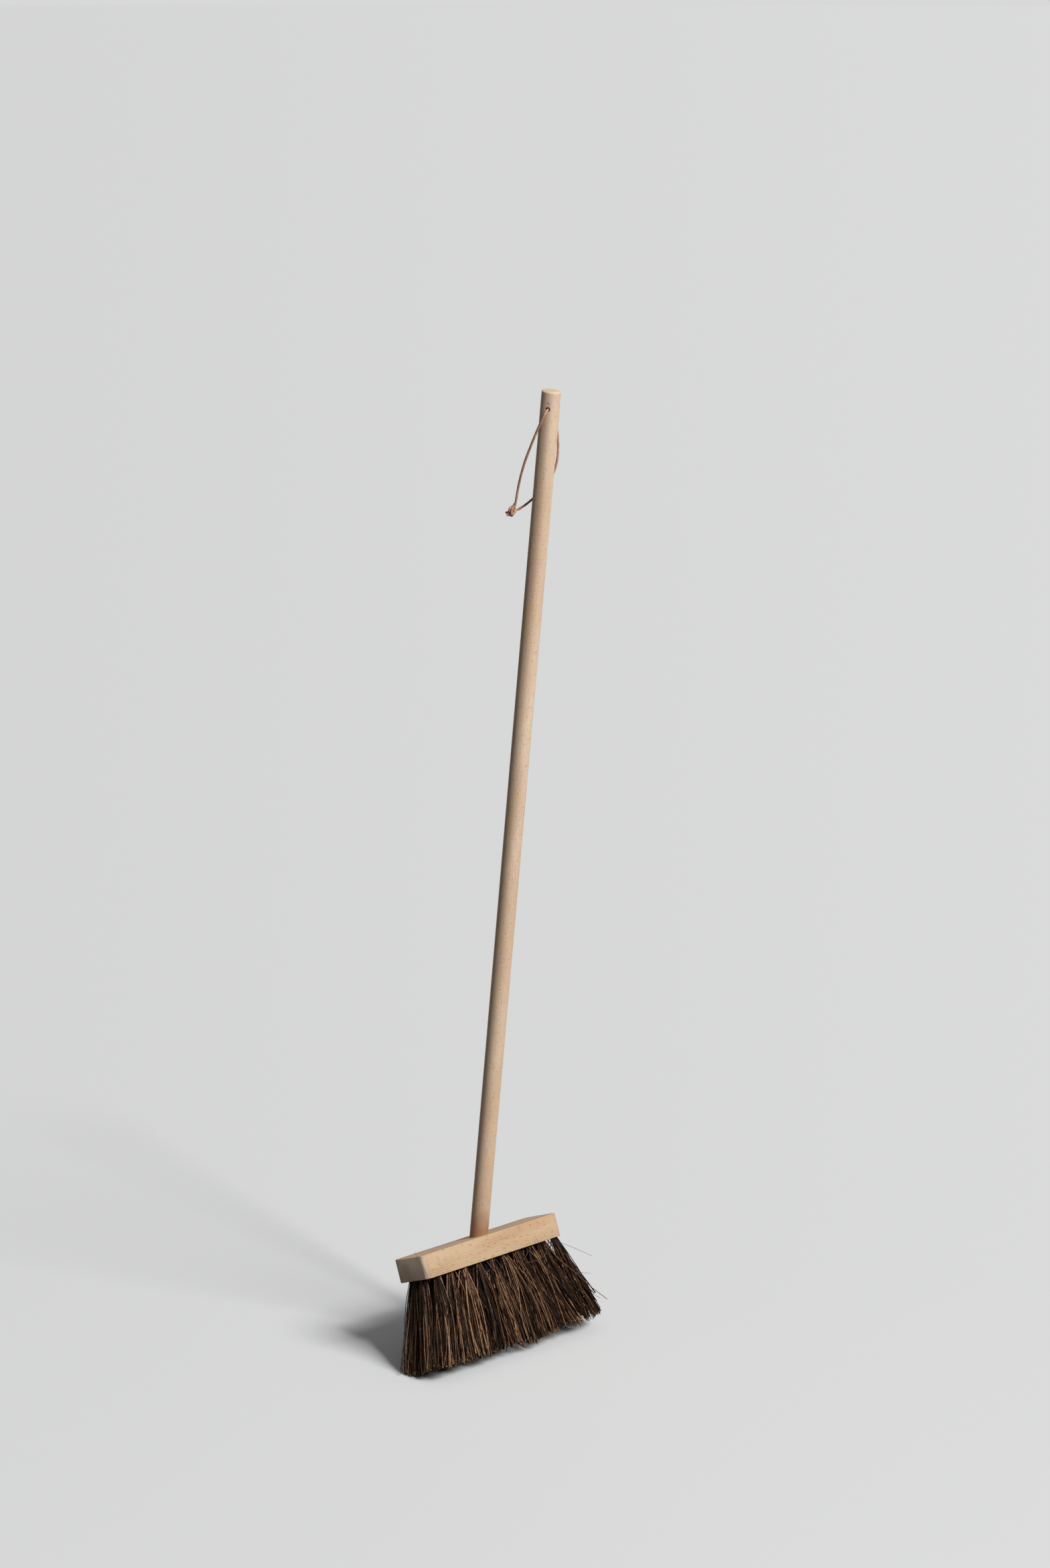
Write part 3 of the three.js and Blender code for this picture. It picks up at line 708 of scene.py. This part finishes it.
class BROOM_OT_stage(bpy.types.Operator):
    """Floor, backdrop, lamps and camera"""

    bl_idname = "broom.stage"
    bl_label = "Stage"

    camera_from_head = Vector((-3254.558, -3316.704, 1600.326)) * MM
    camera_azimuth = math.radians(-45.207)
    camera_elevation = math.radians(11.887)
    film_long_side = 36
    floor_size = 4000.0
    sight = 6000.0
    lamp_distance = 6.0
    # The upward part of a direction, from where the sky grows bright to where it is brightest
    ceiling_edge = (0.55, 0.85)
    # The floor's painted light falloff across the view and away from the camera: between two
    # places, two tones
    side_tone = (-1.25, 1.25, 0.952, 1.022)
    away_tone = (-2.4, 0.9, 1.03, 0.985)
    # The change across the view is wider further away, by this share for each metre
    tone_widening = 0.2
    least_tone_width = 0.3

    def execute(self, context):
        settings = context.scene.broom_stage
        context.scene.view_settings.view_transform = "Standard"
        self.add_camera(context, settings)
        self.add_lamp("flash", settings)
        self.add_lamp("window", settings)
        self.light_world(context, settings)
        self.add_floor(settings)
        return {"FINISHED"}

    def add_camera(self, context, settings):
        start_piece()
        bpy.ops.object.camera_add(
            location=HEAD_CENTRE + self.camera_from_head,
            rotation=(math.pi / 2 - self.camera_elevation, 0, self.camera_azimuth),
        )
        camera = context.object
        camera.name = "photo_camera"
        camera.data.lens = settings.focal_length
        camera.data.sensor_width = self.film_long_side
        camera.data.clip_end = self.sight
        context.scene.camera = camera

    def add_lamp(self, name, settings):
        start_piece()
        strength, azimuth, elevation, spread = (
            getattr(settings, f"{name}_{part}")
            for part in ("strength", "azimuth", "elevation", "spread")
        )
        level = math.cos(elevation)
        towards = Vector(
            (level * math.cos(azimuth), level * math.sin(azimuth), math.sin(elevation))
        )
        bpy.ops.object.light_add(type="SUN", location=towards * self.lamp_distance)
        lamp = bpy.context.object
        lamp.name = f"{name}_lamp"
        lamp.rotation_euler = towards.to_track_quat("Z", "Y").to_euler()
        lamp.data.energy = strength
        lamp.data.angle = spread

    def light_world(self, context, settings):
        """Light from above for the broom, and the plain backdrop for the camera."""
        world = bpy.data.worlds.new("studio")
        world.use_nodes = True
        context.scene.world = world
        tree = world.node_tree
        tree.nodes.clear()
        direction = add_node(tree, "TexCoord").outputs["Generated"]
        strength = between(
            tree, split(tree, direction)[2], *self.ceiling_edge,
            settings.shade_strength, settings.ceiling_strength,
        )
        fill, backdrop = (
            add_node(tree, "Background", {"Color": colour, "Strength": level}).outputs[0]
            for colour, level in (((1, 1, 1), strength), (settings.backdrop_colour, 1))
        )
        choice = add_node(
            tree, "MixShader", {0: seen_rays(tree), 1: fill, 2: backdrop}
        )
        add_node(tree, "OutputWorld", {"Surface": choice.outputs[0]})

    def add_floor(self, settings):
        start_piece()
        bpy.ops.mesh.primitive_plane_add(size=self.floor_size)
        floor = bpy.context.object
        floor.name = "studio_floor"
        floor.data.materials.append(material_from(self.floor_paint, settings))

    def floor_paint(self, tree, settings):
        """Pale floor with painted shading: a little darker to the camera's left and further away
        from it, where the light falls off.
        """
        seen = mapped(tree, object_place(tree), (0, 0, -self.camera_azimuth))
        side, away, _ = split(tree, seen)
        width = maths(tree, "MULTIPLY_ADD", away, self.tone_widening, 1.0)
        width = maths(tree, "MAXIMUM", width, self.least_tone_width)
        side = maths(tree, "DIVIDE", side, width)
        # Painted shading: the floor's colour is darkened across the view and away from the camera
        level = maths(
            tree, "MULTIPLY",
            between(tree, side, *self.side_tone, "SMOOTHERSTEP"),
            between(tree, away, *self.away_tone, "SMOOTHERSTEP"),
        )
        share = between(tree, seen_rays(tree), 0, 1, settings.bounce_share, 1)
        colour = tuple(settings.floor_colour)
        for scale in (level, share):
            colour = add_node(
                tree, "VectorMath", {0: colour, 3: scale}, operation="SCALE"
            ).outputs[0]
        return {"Base Color": colour, "Roughness": 1, "Specular IOR Level": 0}


class BROOM_OT_loop(bpy.types.Operator):
    """Leather lace through the handle's cross hole"""

    bl_idname = "broom.loop"
    bl_label = "Leather loop"

    route_steps = 5
    seed = 3

    def execute(self, context):
        settings = context.scene.broom_loop
        route = smooth_route([hole_place(point) for point in LOOP_ROUTE], self.route_steps)
        lace = lace_tube(route, settings.cord_diameter, self.seed)
        leather = material_from(tan_leather, settings)
        finish_piece(lace, "leather_lace", leather, "hanging_loop")
        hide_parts("loop_cord")
        return {"FINISHED"}


def lace_tube(route, diameter, seed):
    """A closed tube along the route, slightly uneven, as cut leather is."""
    draw = random.Random(seed)
    growth, growths = 1.0, []
    for _ in route:
        chance = draw.uniform(-LACE_UNEVENNESS, LACE_UNEVENNESS)
        growth += LACE_EVENING * (1 - growth) + chance
        growths.append(growth)
    tube = add_tube("lace", route, diameter / 2, growths, LACE_SIDES // 4)
    bpy.ops.object.shade_smooth_by_angle(angle=LACE_SMOOTH_ANGLE)
    return tube


class BROOM_OT_knot(bpy.types.Operator):
    """Knot of the lace's two ends, with two cut tails"""

    bl_idname = "broom.knot"
    bl_label = "Leather knot"

    # Centre lines in millimetres from the knot's centre, in the hole's frame
    strands = (
        (
            (-1.6, 1.0, -9.0), (-0.7, 1.6, -6.1), (0.2, 3.4, -2.3), (0.7, 4.2, 1.9),
            (1.2, 2.6, 5.4), (0.9, -0.7, 6.6), (0.2, -3.7, 4.7), (-0.5, -4.7, 0.7),
            (-0.7, -3.5, -3.3), (0.7, -0.7, -4.9), (2.8, 1.9, -3.7), (4.0, 3.0, -0.5),
            (4.2, 1.9, 2.6), (6.3, 0.5, 3.5), (8.6, -0.4, 3.4),
        ),
        (
            (-8.6, -3.6, -3.2), (-6.3, -2.8, -2.1), (-3.7, -0.5, -0.7), (-2.8, 2.8, 1.2),
            (-1.2, 4.9, 4.0), (1.2, 3.8, 5.6), (3.0, 1.2, 6.0), (3.7, -2.1, 5.6),
            (3.0, -4.4, 2.1), (1.9, -4.7, -1.9), (0.7, -2.6, -4.2), (1.6, 0.2, -1.4),
            (3.5, 0.9, 0.7), (4.8, 1.8, 4.6), (6.8, 2.6, 7.0),
        ),
    )
    route_steps = 6

    def execute(self, context):
        settings = context.scene.broom_loop
        centre = Vector(KNOT_CENTRE)
        tubes = []
        for seed, strand in enumerate(self.strands):
            places = [hole_place(centre + Vector(point)) for point in strand]
            route = smooth_route(places, self.route_steps)
            tubes.append(lace_tube(route, settings.cord_diameter, seed))
        knot = join_pieces(tubes)
        leather = material_from(tan_leather, settings)
        finish_piece(knot, "leather_knot", leather, "hanging_loop")
        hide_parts("loop_knot")
        return {"FINISHED"}


class BROOM_OT_head(bpy.types.Operator):
    """Beech head with its socket and tuft holes"""

    bl_idname = "broom.head"
    bl_label = "Head"

    corner_steps = 10
    edge_steps = 3
    hole_sides = 32
    socket_sides = 96
    overrun = 4 * MM

    def execute(self, context):
        settings = context.scene.broom_head
        start_piece()
        bpy.ops.mesh.primitive_cube_add(size=1)
        head = context.object
        bpy.ops.transform.resize(value=(HEAD_LENGTH, HEAD_WIDTH, HEAD_THICKNESS))
        bpy.ops.object.transform_apply(location=False, rotation=False, scale=True)
        bevel_edges(
            head, lambda low, high: abs(low.z - high.z) > HEAD_THICKNESS / 2,
            settings.corner_radius, self.corner_steps,
        )
        bevel_edges(
            head, lambda low, high: abs(low.z - high.z) < settings.edge_ease,
            settings.edge_ease, self.edge_steps,
        )
        self.drill_tuft_holes(head)
        self.drill_socket(head)
        wood = material_from(planed_beech, settings)
        finish_wood(head, HEAD_FRAME, "beech_head", wood)
        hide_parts("head_block")
        return {"FINISHED"}

    def drill_tuft_holes(self, head):
        bottom, top = HEAD_UNDERSIDE - self.overrun, HEAD_UNDERSIDE + TUFT_HOLE_DEPTH
        drill = add_cylinder(TUFT_HOLE_DIAMETER / 2, bottom, top, self.hole_sides)
        drills = []
        for row in range(TUFT_ROWS):
            for tuft in tuft_places(row):
                drills.append(add_object("drill", drill.data.copy()))
                drills[-1].data.transform(Matrix.Translation((*tuft["hole"], 0)))
        bpy.data.objects.remove(drill)
        cut_away(head, join_pieces(drills))

    def drill_socket(self, head):
        radius = HANDLE_RADIUS + FIT_GAP / 2
        drill = add_cylinder(radius, -SOCKET_DEPTH, HANDLE_RADIUS * 2, self.socket_sides)
        to_head = Matrix.Translation((0, -SOCKET_FRONT_OFFSET, HEAD_THICKNESS / 2))
        drill.data.transform(to_head @ Matrix.Rotation(SOCKET_ANGLE, 4, "X"))
        cut_away(head, drill)


class BROOM_OT_handle(bpy.types.Operator):
    """Turned beech handle with its cross hole"""

    bl_idname = "broom.handle"
    bl_label = "Handle"

    round_steps = 6
    hole_sides = 40
    # Grooves in millimetres and degrees: place beside and above the hole, length, turn
    tears = ((-1.0, 5.2, 4.6, 12), (0.1, 7.6, 3.4, 98))
    tear_width = 0.5 * MM
    tear_depth = 0.9 * MM

    def execute(self, context):
        settings = context.scene.broom_handle
        handle = add_cylinder(HANDLE_RADIUS, HANDLE_FOOT, HANDLE_TOP, settings.sides)
        self.round_end(handle, HANDLE_TOP, settings.end_round, self.round_steps)
        self.round_end(handle, HANDLE_FOOT, settings.foot_chamfer, 1)
        self.drill_cross_hole(handle)
        self.tear_grain(handle)
        wood = material_from(turned_beech, settings)
        finish_wood(handle, HANDLE_FRAME, "beech_handle", wood)
        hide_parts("handle")
        return {"FINISHED"}

    def round_end(self, handle, height, size, steps):
        def rim(low, high):
            return abs(low.z - height) < FIT_GAP and abs(high.z - height) < FIT_GAP

        bevel_edges(handle, rim, size, steps)

    def drill_cross_hole(self, handle):
        reach = HANDLE_RADIUS * 2
        drill = add_cylinder(HOLE_DIAMETER / 2, -reach, reach, self.hole_sides)
        drill.data.transform(Matrix.Rotation(math.pi / 2, 4, "X"))
        drill.data.transform(HANDLE_FRAME.inverted() @ HOLE_FRAME)
        cut_away(handle, drill)

    def tear_grain(self, handle):
        """Two short grooves above the hole, where the drill tore the grain."""
        for side, rise, length, angle in self.tears:
            start_piece()
            bpy.ops.mesh.primitive_cube_add(size=1)
            groove = bpy.context.object
            for step in (
                Matrix.Diagonal((self.tear_width, 2 * self.tear_depth, length * MM, 1)),
                Matrix.Rotation(math.radians(angle), 4, "Y"),
                Matrix.Translation((side * MM, HANDLE_RADIUS, rise * MM)),
                HANDLE_FRAME.inverted() @ HOLE_FRAME,
            ):
                groove.data.transform(step)
            cut_away(handle, groove)


def tuft_places(row):
    """Tufts of a row from left to right; those that would meet the socket are left out."""
    line = row - (TUFT_ROWS - 1) / 2
    places = []
    for i in range(TUFTS_PER_ROW):
        if (row, i) not in NO_TUFTS:
            step = i - (TUFTS_PER_ROW - 1) / 2 + ROW_SHIFTS[row]
            hole = np.array((step * TUFT_PITCH, line * ROW_PITCH))
            tip = np.array((step * TIP_TUFT_PITCH, line * TIP_ROW_PITCH))
            places.append({"row": row, "step": step, "hole": hole, "tip": tip})
    return places


class BROOM_OT_bristles(bpy.types.Operator):
    """Tufts of stiff plant fibre, one piece for each row"""

    bl_idname = "broom.bristles"
    bl_label = "Bristles"

    first_seed = 40
    golden_turn = math.pi * (3 - math.sqrt(5))
    # Roots: how far they stand round the hole's middle and above the head's underside
    root_reach = 3.8 * MM
    root_sink = 7 * MM
    # Tips: how far they fan out along and across the head, and where they end along it
    tip_reach = np.array((16.5, 8.5)) * MM
    tip_limits = (-153 * MM, 162 * MM)
    tip_diagonal = 189 * MM
    limit_pull = 2.2
    # For each row: how far its tips lean forward, and how much shorter it is
    row_leans = (13 * MM, 6 * MM, 0.0, 0.0)
    row_trims = (3.6 * MM, 5.5 * MM, 2.0 * MM, 0.0)
    ground_gap = 0.2 * MM
    # Tufts further out than outer_step don't bow outwards; past end_step, on the right,
    # a tuft is fuller and its straying fibres turn inwards
    outer_step = 2.9
    end_step = 3.9
    end_share = 1.4
    end_turn_in = 1.6
    # Spread by chance, of plain fibres and of straying ones; wanders along and across the head
    stray_share = 0.22
    wanders = np.array(((5.0, 1.8), (15, 5))) * MM
    bows = np.array((2.4, 4.5)) * MM
    waves = np.array((1.2, 1.9)) * MM
    tone_gains = np.array((0, 0.16))
    # Spread by chance, of whole tufts
    tuft_lean = np.array((2.2, 1.6)) * MM
    tuft_length = 1.3 * MM
    tuft_bow = 1.3 * MM
    tuft_tone = 0.05
    # Spread by chance, of each fibre
    root_twist = 1.1
    fibre_length = 1.9 * MM
    short_share = 0.04
    short_by = (6 * MM, 26 * MM)
    ground_lift = 1.6 * MM
    width_chance = (-0.08, 0.42)
    width_limits = (0.35, 2.0)
    flatness = (0.55, 0.95)
    tone_chance = (0.7, 1.15)
    # How much of a tip's spread becomes bow, and how tone falls with each step to the right
    bow_share = 0.2
    tone_fall = 0.02

    def execute(self, context):
        settings = context.scene.broom_bristles
        blank = fibre_blank()
        material = material_from(plant_fibre, settings)
        for row in range(TUFT_ROWS):
            draw = np.random.default_rng(self.first_seed + row)
            tufts = [self.draw_tuft(draw, tuft, settings) for tuft in tuft_places(row)]
            fibres = {key: np.concatenate([tuft[key] for tuft in tufts]) for key in tufts[0]}
            name = f"bristles_row_{row + 1}"
            piece = fibre_piece(name, fibres, *blank)
            finish_piece(piece, name, material, "broom")
            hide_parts(f"tuft_row_{row + 1}")
        return {"FINISHED"}

    def draw_tuft(self, draw, tuft, settings):
        """Roots, tips and shapes of one tuft's fibres, in the head's frame.

        The order of the draws decides the shapes.
        """
        row, step = tuft["row"], tuft["step"]
        last = step > self.end_step
        count = round(settings.fibres_per_tuft * (self.end_share if last else 1))
        order = np.arange(count)
        reach = np.sqrt((order + 0.5) / count)
        angle = order * self.golden_turn + step
        kind = (draw.random(count) < self.stray_share).astype(int)

        def around(angle):
            return (reach * (np.cos(angle), np.sin(angle))).T

        wander = draw.normal(0, 1, (2, count)).T * self.wanders[kind]
        lean = draw.normal(0, self.tuft_lean)
        root_angle = angle + draw.normal(0, self.root_twist, count)
        root = tuft["hole"] + self.root_reach * around(root_angle)

        if last:
            inwards = -self.end_turn_in * np.abs(wander[:, 0])
            wander[:, 0] = np.where(kind, inwards, wander[:, 0])
        spread = self.tip_reach * around(angle) + wander
        tip = tuft["tip"] + spread + lean
        tip[:, 1] -= self.row_leans[row]
        low, high = self.tip_limits
        high = np.minimum(high, self.tip_diagonal + tip[:, 1])
        over, under = np.maximum(tip[:, 0] - high, 0), np.minimum(tip[:, 0] - low, 0)
        tip[:, 0] -= (over + under) * self.limit_pull

        length = STRAND_LENGTH - self.row_trims[row] + draw.normal(0, self.fibre_length, count)
        length += draw.normal(0, self.tuft_length)
        short = draw.random(count) < self.short_share
        length -= np.where(short, draw.uniform(*self.short_by, count), 0)
        slant = np.linalg.norm(tip - root, axis=1) / STRAND_LENGTH
        lift = self.ground_gap + draw.uniform(0, self.ground_lift, count)
        room = (HEAD_CENTRE.z - lift - tip[:, 1] * math.sin(HEAD_TILT)) / math.cos(HEAD_TILT)
        depth = np.minimum(length / np.hypot(1, slant), room + HEAD_UNDERSIDE)

        width = np.clip(draw.lognormal(*self.width_chance, count), *self.width_limits)
        aim = draw.uniform(0, math.tau, count)
        bow = draw.normal(0, 1, (count, 2)) * self.bows[kind, None]
        bow += draw.normal(0, self.tuft_bow, 2) + self.bow_share * spread
        if abs(step) > self.outer_step:
            bow[:, 0] -= np.maximum(bow[:, 0] * np.sign(step), 0) * np.sign(step)
        wave = draw.normal(0, 1, (count, 2)) * self.waves[kind, None]
        tone = draw.beta(*self.tone_chance, count) + self.tone_gains[kind]
        tone += draw.normal(0, self.tuft_tone) - self.tone_fall * max(step, 0)
        return {
            "root": np.column_stack([root, np.full(count, HEAD_UNDERSIDE + self.root_sink)]),
            "tip": np.column_stack([tip, HEAD_UNDERSIDE - depth]),
            "bow": bow, "wave": wave, "aim": aim, "width": settings.fibre_width * width / 2,
            "flat": draw.uniform(*self.flatness, count), "tone": np.clip(tone, 0, 1),
        }


def fibre_blank():
    """Corners and faces of one straight fibre, a unit long and a unit in radius.

    Extrusion leaves them in an order that changes from run to run, so both are sorted.
    """
    start_piece()
    bpy.ops.mesh.primitive_circle_add(vertices=FIBRE_SIDES, radius=1, fill_type="NGON")
    blank = bpy.context.object
    bpy.ops.object.mode_set(mode="EDIT")
    bpy.ops.mesh.select_all(action="SELECT")
    for low, high in zip(FIBRE_RINGS, FIBRE_RINGS[1:]):
        bpy.ops.mesh.extrude_region_move(TRANSFORM_OT_translate={"value": (0, 0, high - low)})
    bpy.ops.transform.resize(value=(FIBRE_TIP, FIBRE_TIP, 1))
    bpy.ops.mesh.select_all(action="SELECT")
    bpy.ops.mesh.region_to_loop()
    bpy.ops.mesh.edge_face_add()
    bpy.ops.mesh.select_all(action="SELECT")
    bpy.ops.mesh.normals_make_consistent(inside=False)
    bpy.ops.object.mode_set(mode="OBJECT")
    mesh = blank.data
    places = [tuple(vertex.co) for vertex in mesh.vertices]
    corners = sorted(places)
    faces = [[corners.index(places[i]) for i in face.vertices] for face in mesh.polygons]
    bpy.data.meshes.remove(mesh)
    return np.array(corners), sorted(faces, key=sorted)


def fibre_line(fibres, at):
    """Each fibre's centre line at the given shares of its length, in the head's frame."""
    travel = (fibres["tip"] - fibres["root"])[:, None]
    sideways = at + SIDEWAYS_LEAD * at * (1 - at)
    line = fibres["root"][:, None] + travel * np.stack([sideways, sideways, at], 1)
    line[..., :2] += fibres["bow"][:, None] * np.sin(math.pi * at)[:, None]
    line[..., :2] += fibres["wave"][:, None] * np.sin(math.tau * at)[:, None]
    return line


def bend_blank(fibres, corners):
    """The blank's corners bent along each fibre's line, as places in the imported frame."""
    share = corners[:, 2]
    before, after = share - HEADING_STEP, share + HEADING_STEP
    heading = fibre_line(fibres, after) - fibre_line(fibres, before)
    heading /= np.linalg.norm(heading, axis=2, keepdims=True)
    aim = fibres["aim"]
    aim = np.stack([np.cos(aim), np.sin(aim), np.zeros(len(aim))], 1)
    side = np.cross(heading, aim[:, None])
    side /= np.linalg.norm(side, axis=2, keepdims=True)
    front = np.cross(heading, side)
    wide = fibres["width"][:, None] * (1 - FIBRE_TAPER * share)
    thin = wide * fibres["flat"][:, None]
    places = fibre_line(fibres, share)
    places += side * (corners[:, 0] * wide)[..., None] + front * (corners[:, 1] * thin)[..., None]
    to_packed = np.array(HEAD_FRAME)
    return places.reshape(-1, 3) @ to_packed[:3, :3].T + to_packed[:3, 3]


def fibre_skin(fibres, corners, faces):
    """Pattern coordinates of every fibre's faces: round the fibre and along it."""
    angle = np.arctan2(corners[:, 1], corners[:, 0]) / math.tau % 1
    skin = []
    for face in faces:
        around = angle[face]
        if np.ptp(around) > 0.5:
            around = np.where(around < 0.5, around + 1, around)
        skin.append(np.stack([around, corners[face, 2]], 1))
    skins = np.tile(np.concatenate(skin), (len(fibres["tone"]), 1, 1))
    length = np.linalg.norm(fibres["tip"] - fibres["root"], axis=1)
    skins[..., 1] *= (length / STRAND_LENGTH)[:, None]
    skins[..., 0] += fibres["tone"][:, None] * SKIN_SHIFTS[0]
    skins[..., 1] += fibres["aim"][:, None] * SKIN_SHIFTS[1]
    return skins


def set_values(mesh, name, values):
    made = mesh.attributes.new(name, "FLOAT", "POINT")
    made.data.foreach_set("value", np.array(values, np.float32))


def fibre_piece(name, fibres, corners, faces):
    """One piece holding a bent copy of the blank for each fibre, with its tone and cut end."""
    count, size = len(fibres["tone"]), len(corners)
    all_faces = [[i * size + corner for corner in face] for i in range(count) for face in faces]
    mesh = bpy.data.meshes.new(name)
    mesh.from_pydata(bend_blank(fibres, corners).tolist(), [], all_faces)
    mesh.polygons.foreach_set("use_smooth", np.ones(len(all_faces), bool))
    set_values(mesh, "fibre_tone", np.repeat(fibres["tone"], size))
    set_values(mesh, "fibre_cut", np.tile(corners[:, 2] > FIBRE_CUT_FROM, count))
    skins = fibre_skin(fibres, corners, faces)
    layer = mesh.uv_layers.new(name="skin")
    layer.data.foreach_set("uv", skins.reshape(-1).astype(np.float32))
    mesh.validate()
    return add_object(name, mesh)


class BROOM_OT_strays(bpy.types.Operator):
    """Single fibres that stand off the tufts"""

    bl_idname = "broom.strays"
    bl_label = "Stray fibres"

    # Radius, tone and centre line of each fibre in millimetres, in the head's frame
    strays = (
        (0.30, 0.45, ((100, -18, -12), (106, -28, -18), (121, -40, -31), (150, -47, -52))),
        (0.34, 0.55, ((106, -16, -12), (108, -26, -30), (113, -36, -40), (119, -38, -45))),
        (0.28, 0.45, ((106, -14, -14), (116, -28, -40), (124, -42, -66), (140, -48, -74))),
        (0.70, 0.62, (
            (95, -19, -13), (103, -32, -42), (117, -44, -67), (132, -50, -90), (149, -57, -112),
        )),
        (0.34, 0.50, ((106, -15, -14), (122, -28, -60), (136, -40, -96), (150, -44, -110))),
        (0.36, 0.50, ((84, -19, -14), (80, -31, -26), (76, -34.5, -20), (71, -35, -8))),
        (0.42, 0.62, ((92, -19, -14), (88, -30, -30), (66, -33, -36), (44, -32, -35))),
        (0.60, 0.55, ((62, -19, -13), (56, -29, -22), (37, -33, -33), (12, -34, -50))),
        (0.30, 0.45, (
            (-114, -19, -13), (-123, -31, -20), (-132, -36, 0), (-139, -37, 12), (-140, -36, 24),
        )),
        (0.40, 0.50, ((-108, 14, -12), (-112, 19, -22), (-120, 20, -33))),
        (0.60, 0.66, ((60, -19, -13), (66, -29, -30), (92, -34, -70), (124, -36, -119))),
        (0.60, 0.62, ((36, -19, -13), (38, -29, -34), (64, -35, -80), (90, -37, -122))),
        (0.60, 0.64, ((-12, -19, -13), (-10, -28, -30), (12, -35, -76), (36, -38, -122))),
        (0.55, 0.60, ((-60, -19, -13), (-58, -28, -34), (-40, -34, -80), (-24, -36, -121))),
        (0.65, 0.30, (
            (-106, 20, -12), (-107, 24, -21), (-120, 25, -55), (-139.5, 25, -94.4),
            (-160, 25, -126),
        )),
        (0.55, 0.36, (
            (-104, 20, -12), (-105.5, 24, -21), (-119, 25, -59), (-135, 25, -95), (-157, 25, -125),
        )),
        (0.70, 0.26, (
            (-103, 20, -12), (-104, 24, -21.5), (-121, 25, -68), (-142.6, 25, -111.4),
            (-150, 25, -129),
        )),
        (0.60, 0.40, (
            (-102, 18, -12), (-103, 20, -22), (-118, 20, -66), (-138, 20, -108), (-147, 20, -127),
        )),
    )
    route_steps = 5
    bevel_steps = 1
    taper = 0.45

    def execute(self, context):
        settings = context.scene.broom_bristles
        strays = join_pieces([self.add_fibre(*stray) for stray in self.strays])
        material = material_from(plant_fibre, settings)
        finish_piece(strays, "stray_fibres", material, "broom")
        return {"FINISHED"}

    def add_fibre(self, radius, tone, points):
        places = [HEAD_FRAME @ (Vector(point) * MM) for point in points]
        route = smooth_route(places, self.route_steps)
        growths = [1 - self.taper * i / len(route) for i in range(len(route))]
        fibre = add_tube("stray", route, radius * MM, growths, self.bevel_steps)
        for name, value in (("fibre_tone", tone), ("fibre_cut", 0.0)):
            set_values(fibre.data, name, [value] * len(fibre.data.vertices))
        return fibre


class BROOM_OT_staples(bpy.types.Operator):
    """Drawn steel finish of the tuft staples"""

    bl_idname = "broom.staples"
    bl_label = "Staples"

    def execute(self, context):
        wire = material_from(drawn_wire, context.scene.broom_staples)
        for name, node in frame["nodes"].items():
            if name.startswith("staple_"):
                node.data.materials.clear()
                node.data.materials.append(wire)
        return {"FINISHED"}


class BROOM_PT_pieces(bpy.types.Panel):
    """Buttons that make the broom's pieces, with their settings"""

    bl_idname = "BROOM_PT_pieces"
    bl_label = "Street broom"
    bl_space_type = "VIEW_3D"
    bl_region_type = "UI"
    bl_category = "Broom"

    def draw(self, context):
        for operator, group in PIECES:
            box = self.layout.box()
            box.operator(operator.bl_idname)
            settings = getattr(context.scene, group)
            for name in settings.__annotations__:
                box.prop(settings, name)


# Each piece's operator and settings, in the order in which they are made
PIECES = (
    (BROOM_OT_stage, "broom_stage"),
    (BROOM_OT_knot, "broom_loop"),
    (BROOM_OT_loop, "broom_loop"),
    (BROOM_OT_head, "broom_head"),
    (BROOM_OT_handle, "broom_handle"),
    (BROOM_OT_bristles, "broom_bristles"),
    (BROOM_OT_strays, "broom_bristles"),
    (BROOM_OT_staples, "broom_staples"),
)

SETTINGS = {
    "broom_stage": BroomStageSettings,
    "broom_head": BroomHeadSettings,
    "broom_handle": BroomHandleSettings,
    "broom_bristles": BroomBristleSettings,
    "broom_loop": BroomLoopSettings,
    "broom_staples": BroomStapleSettings,
}

CLASSES = (*SETTINGS.values(), *(operator for operator, _ in PIECES), BROOM_PT_pieces)


def register():
    for made in CLASSES:
        bpy.utils.register_class(made)
    for name, group in SETTINGS.items():
        setattr(bpy.types.Scene, name, bpy.props.PointerProperty(type=group))


def unregister():
    for name in SETTINGS:
        delattr(bpy.types.Scene, name)
    for made in reversed(CLASSES):
        bpy.utils.unregister_class(made)


def main():
    register()
    bpy.ops.broom.stage()
    bpy.ops.broom.knot()
    bpy.ops.broom.loop()
    bpy.ops.broom.head()
    bpy.ops.broom.handle()
    bpy.ops.broom.bristles()
    bpy.ops.broom.strays()
    bpy.ops.broom.staples()


if __name__ == "__main__":
    main()
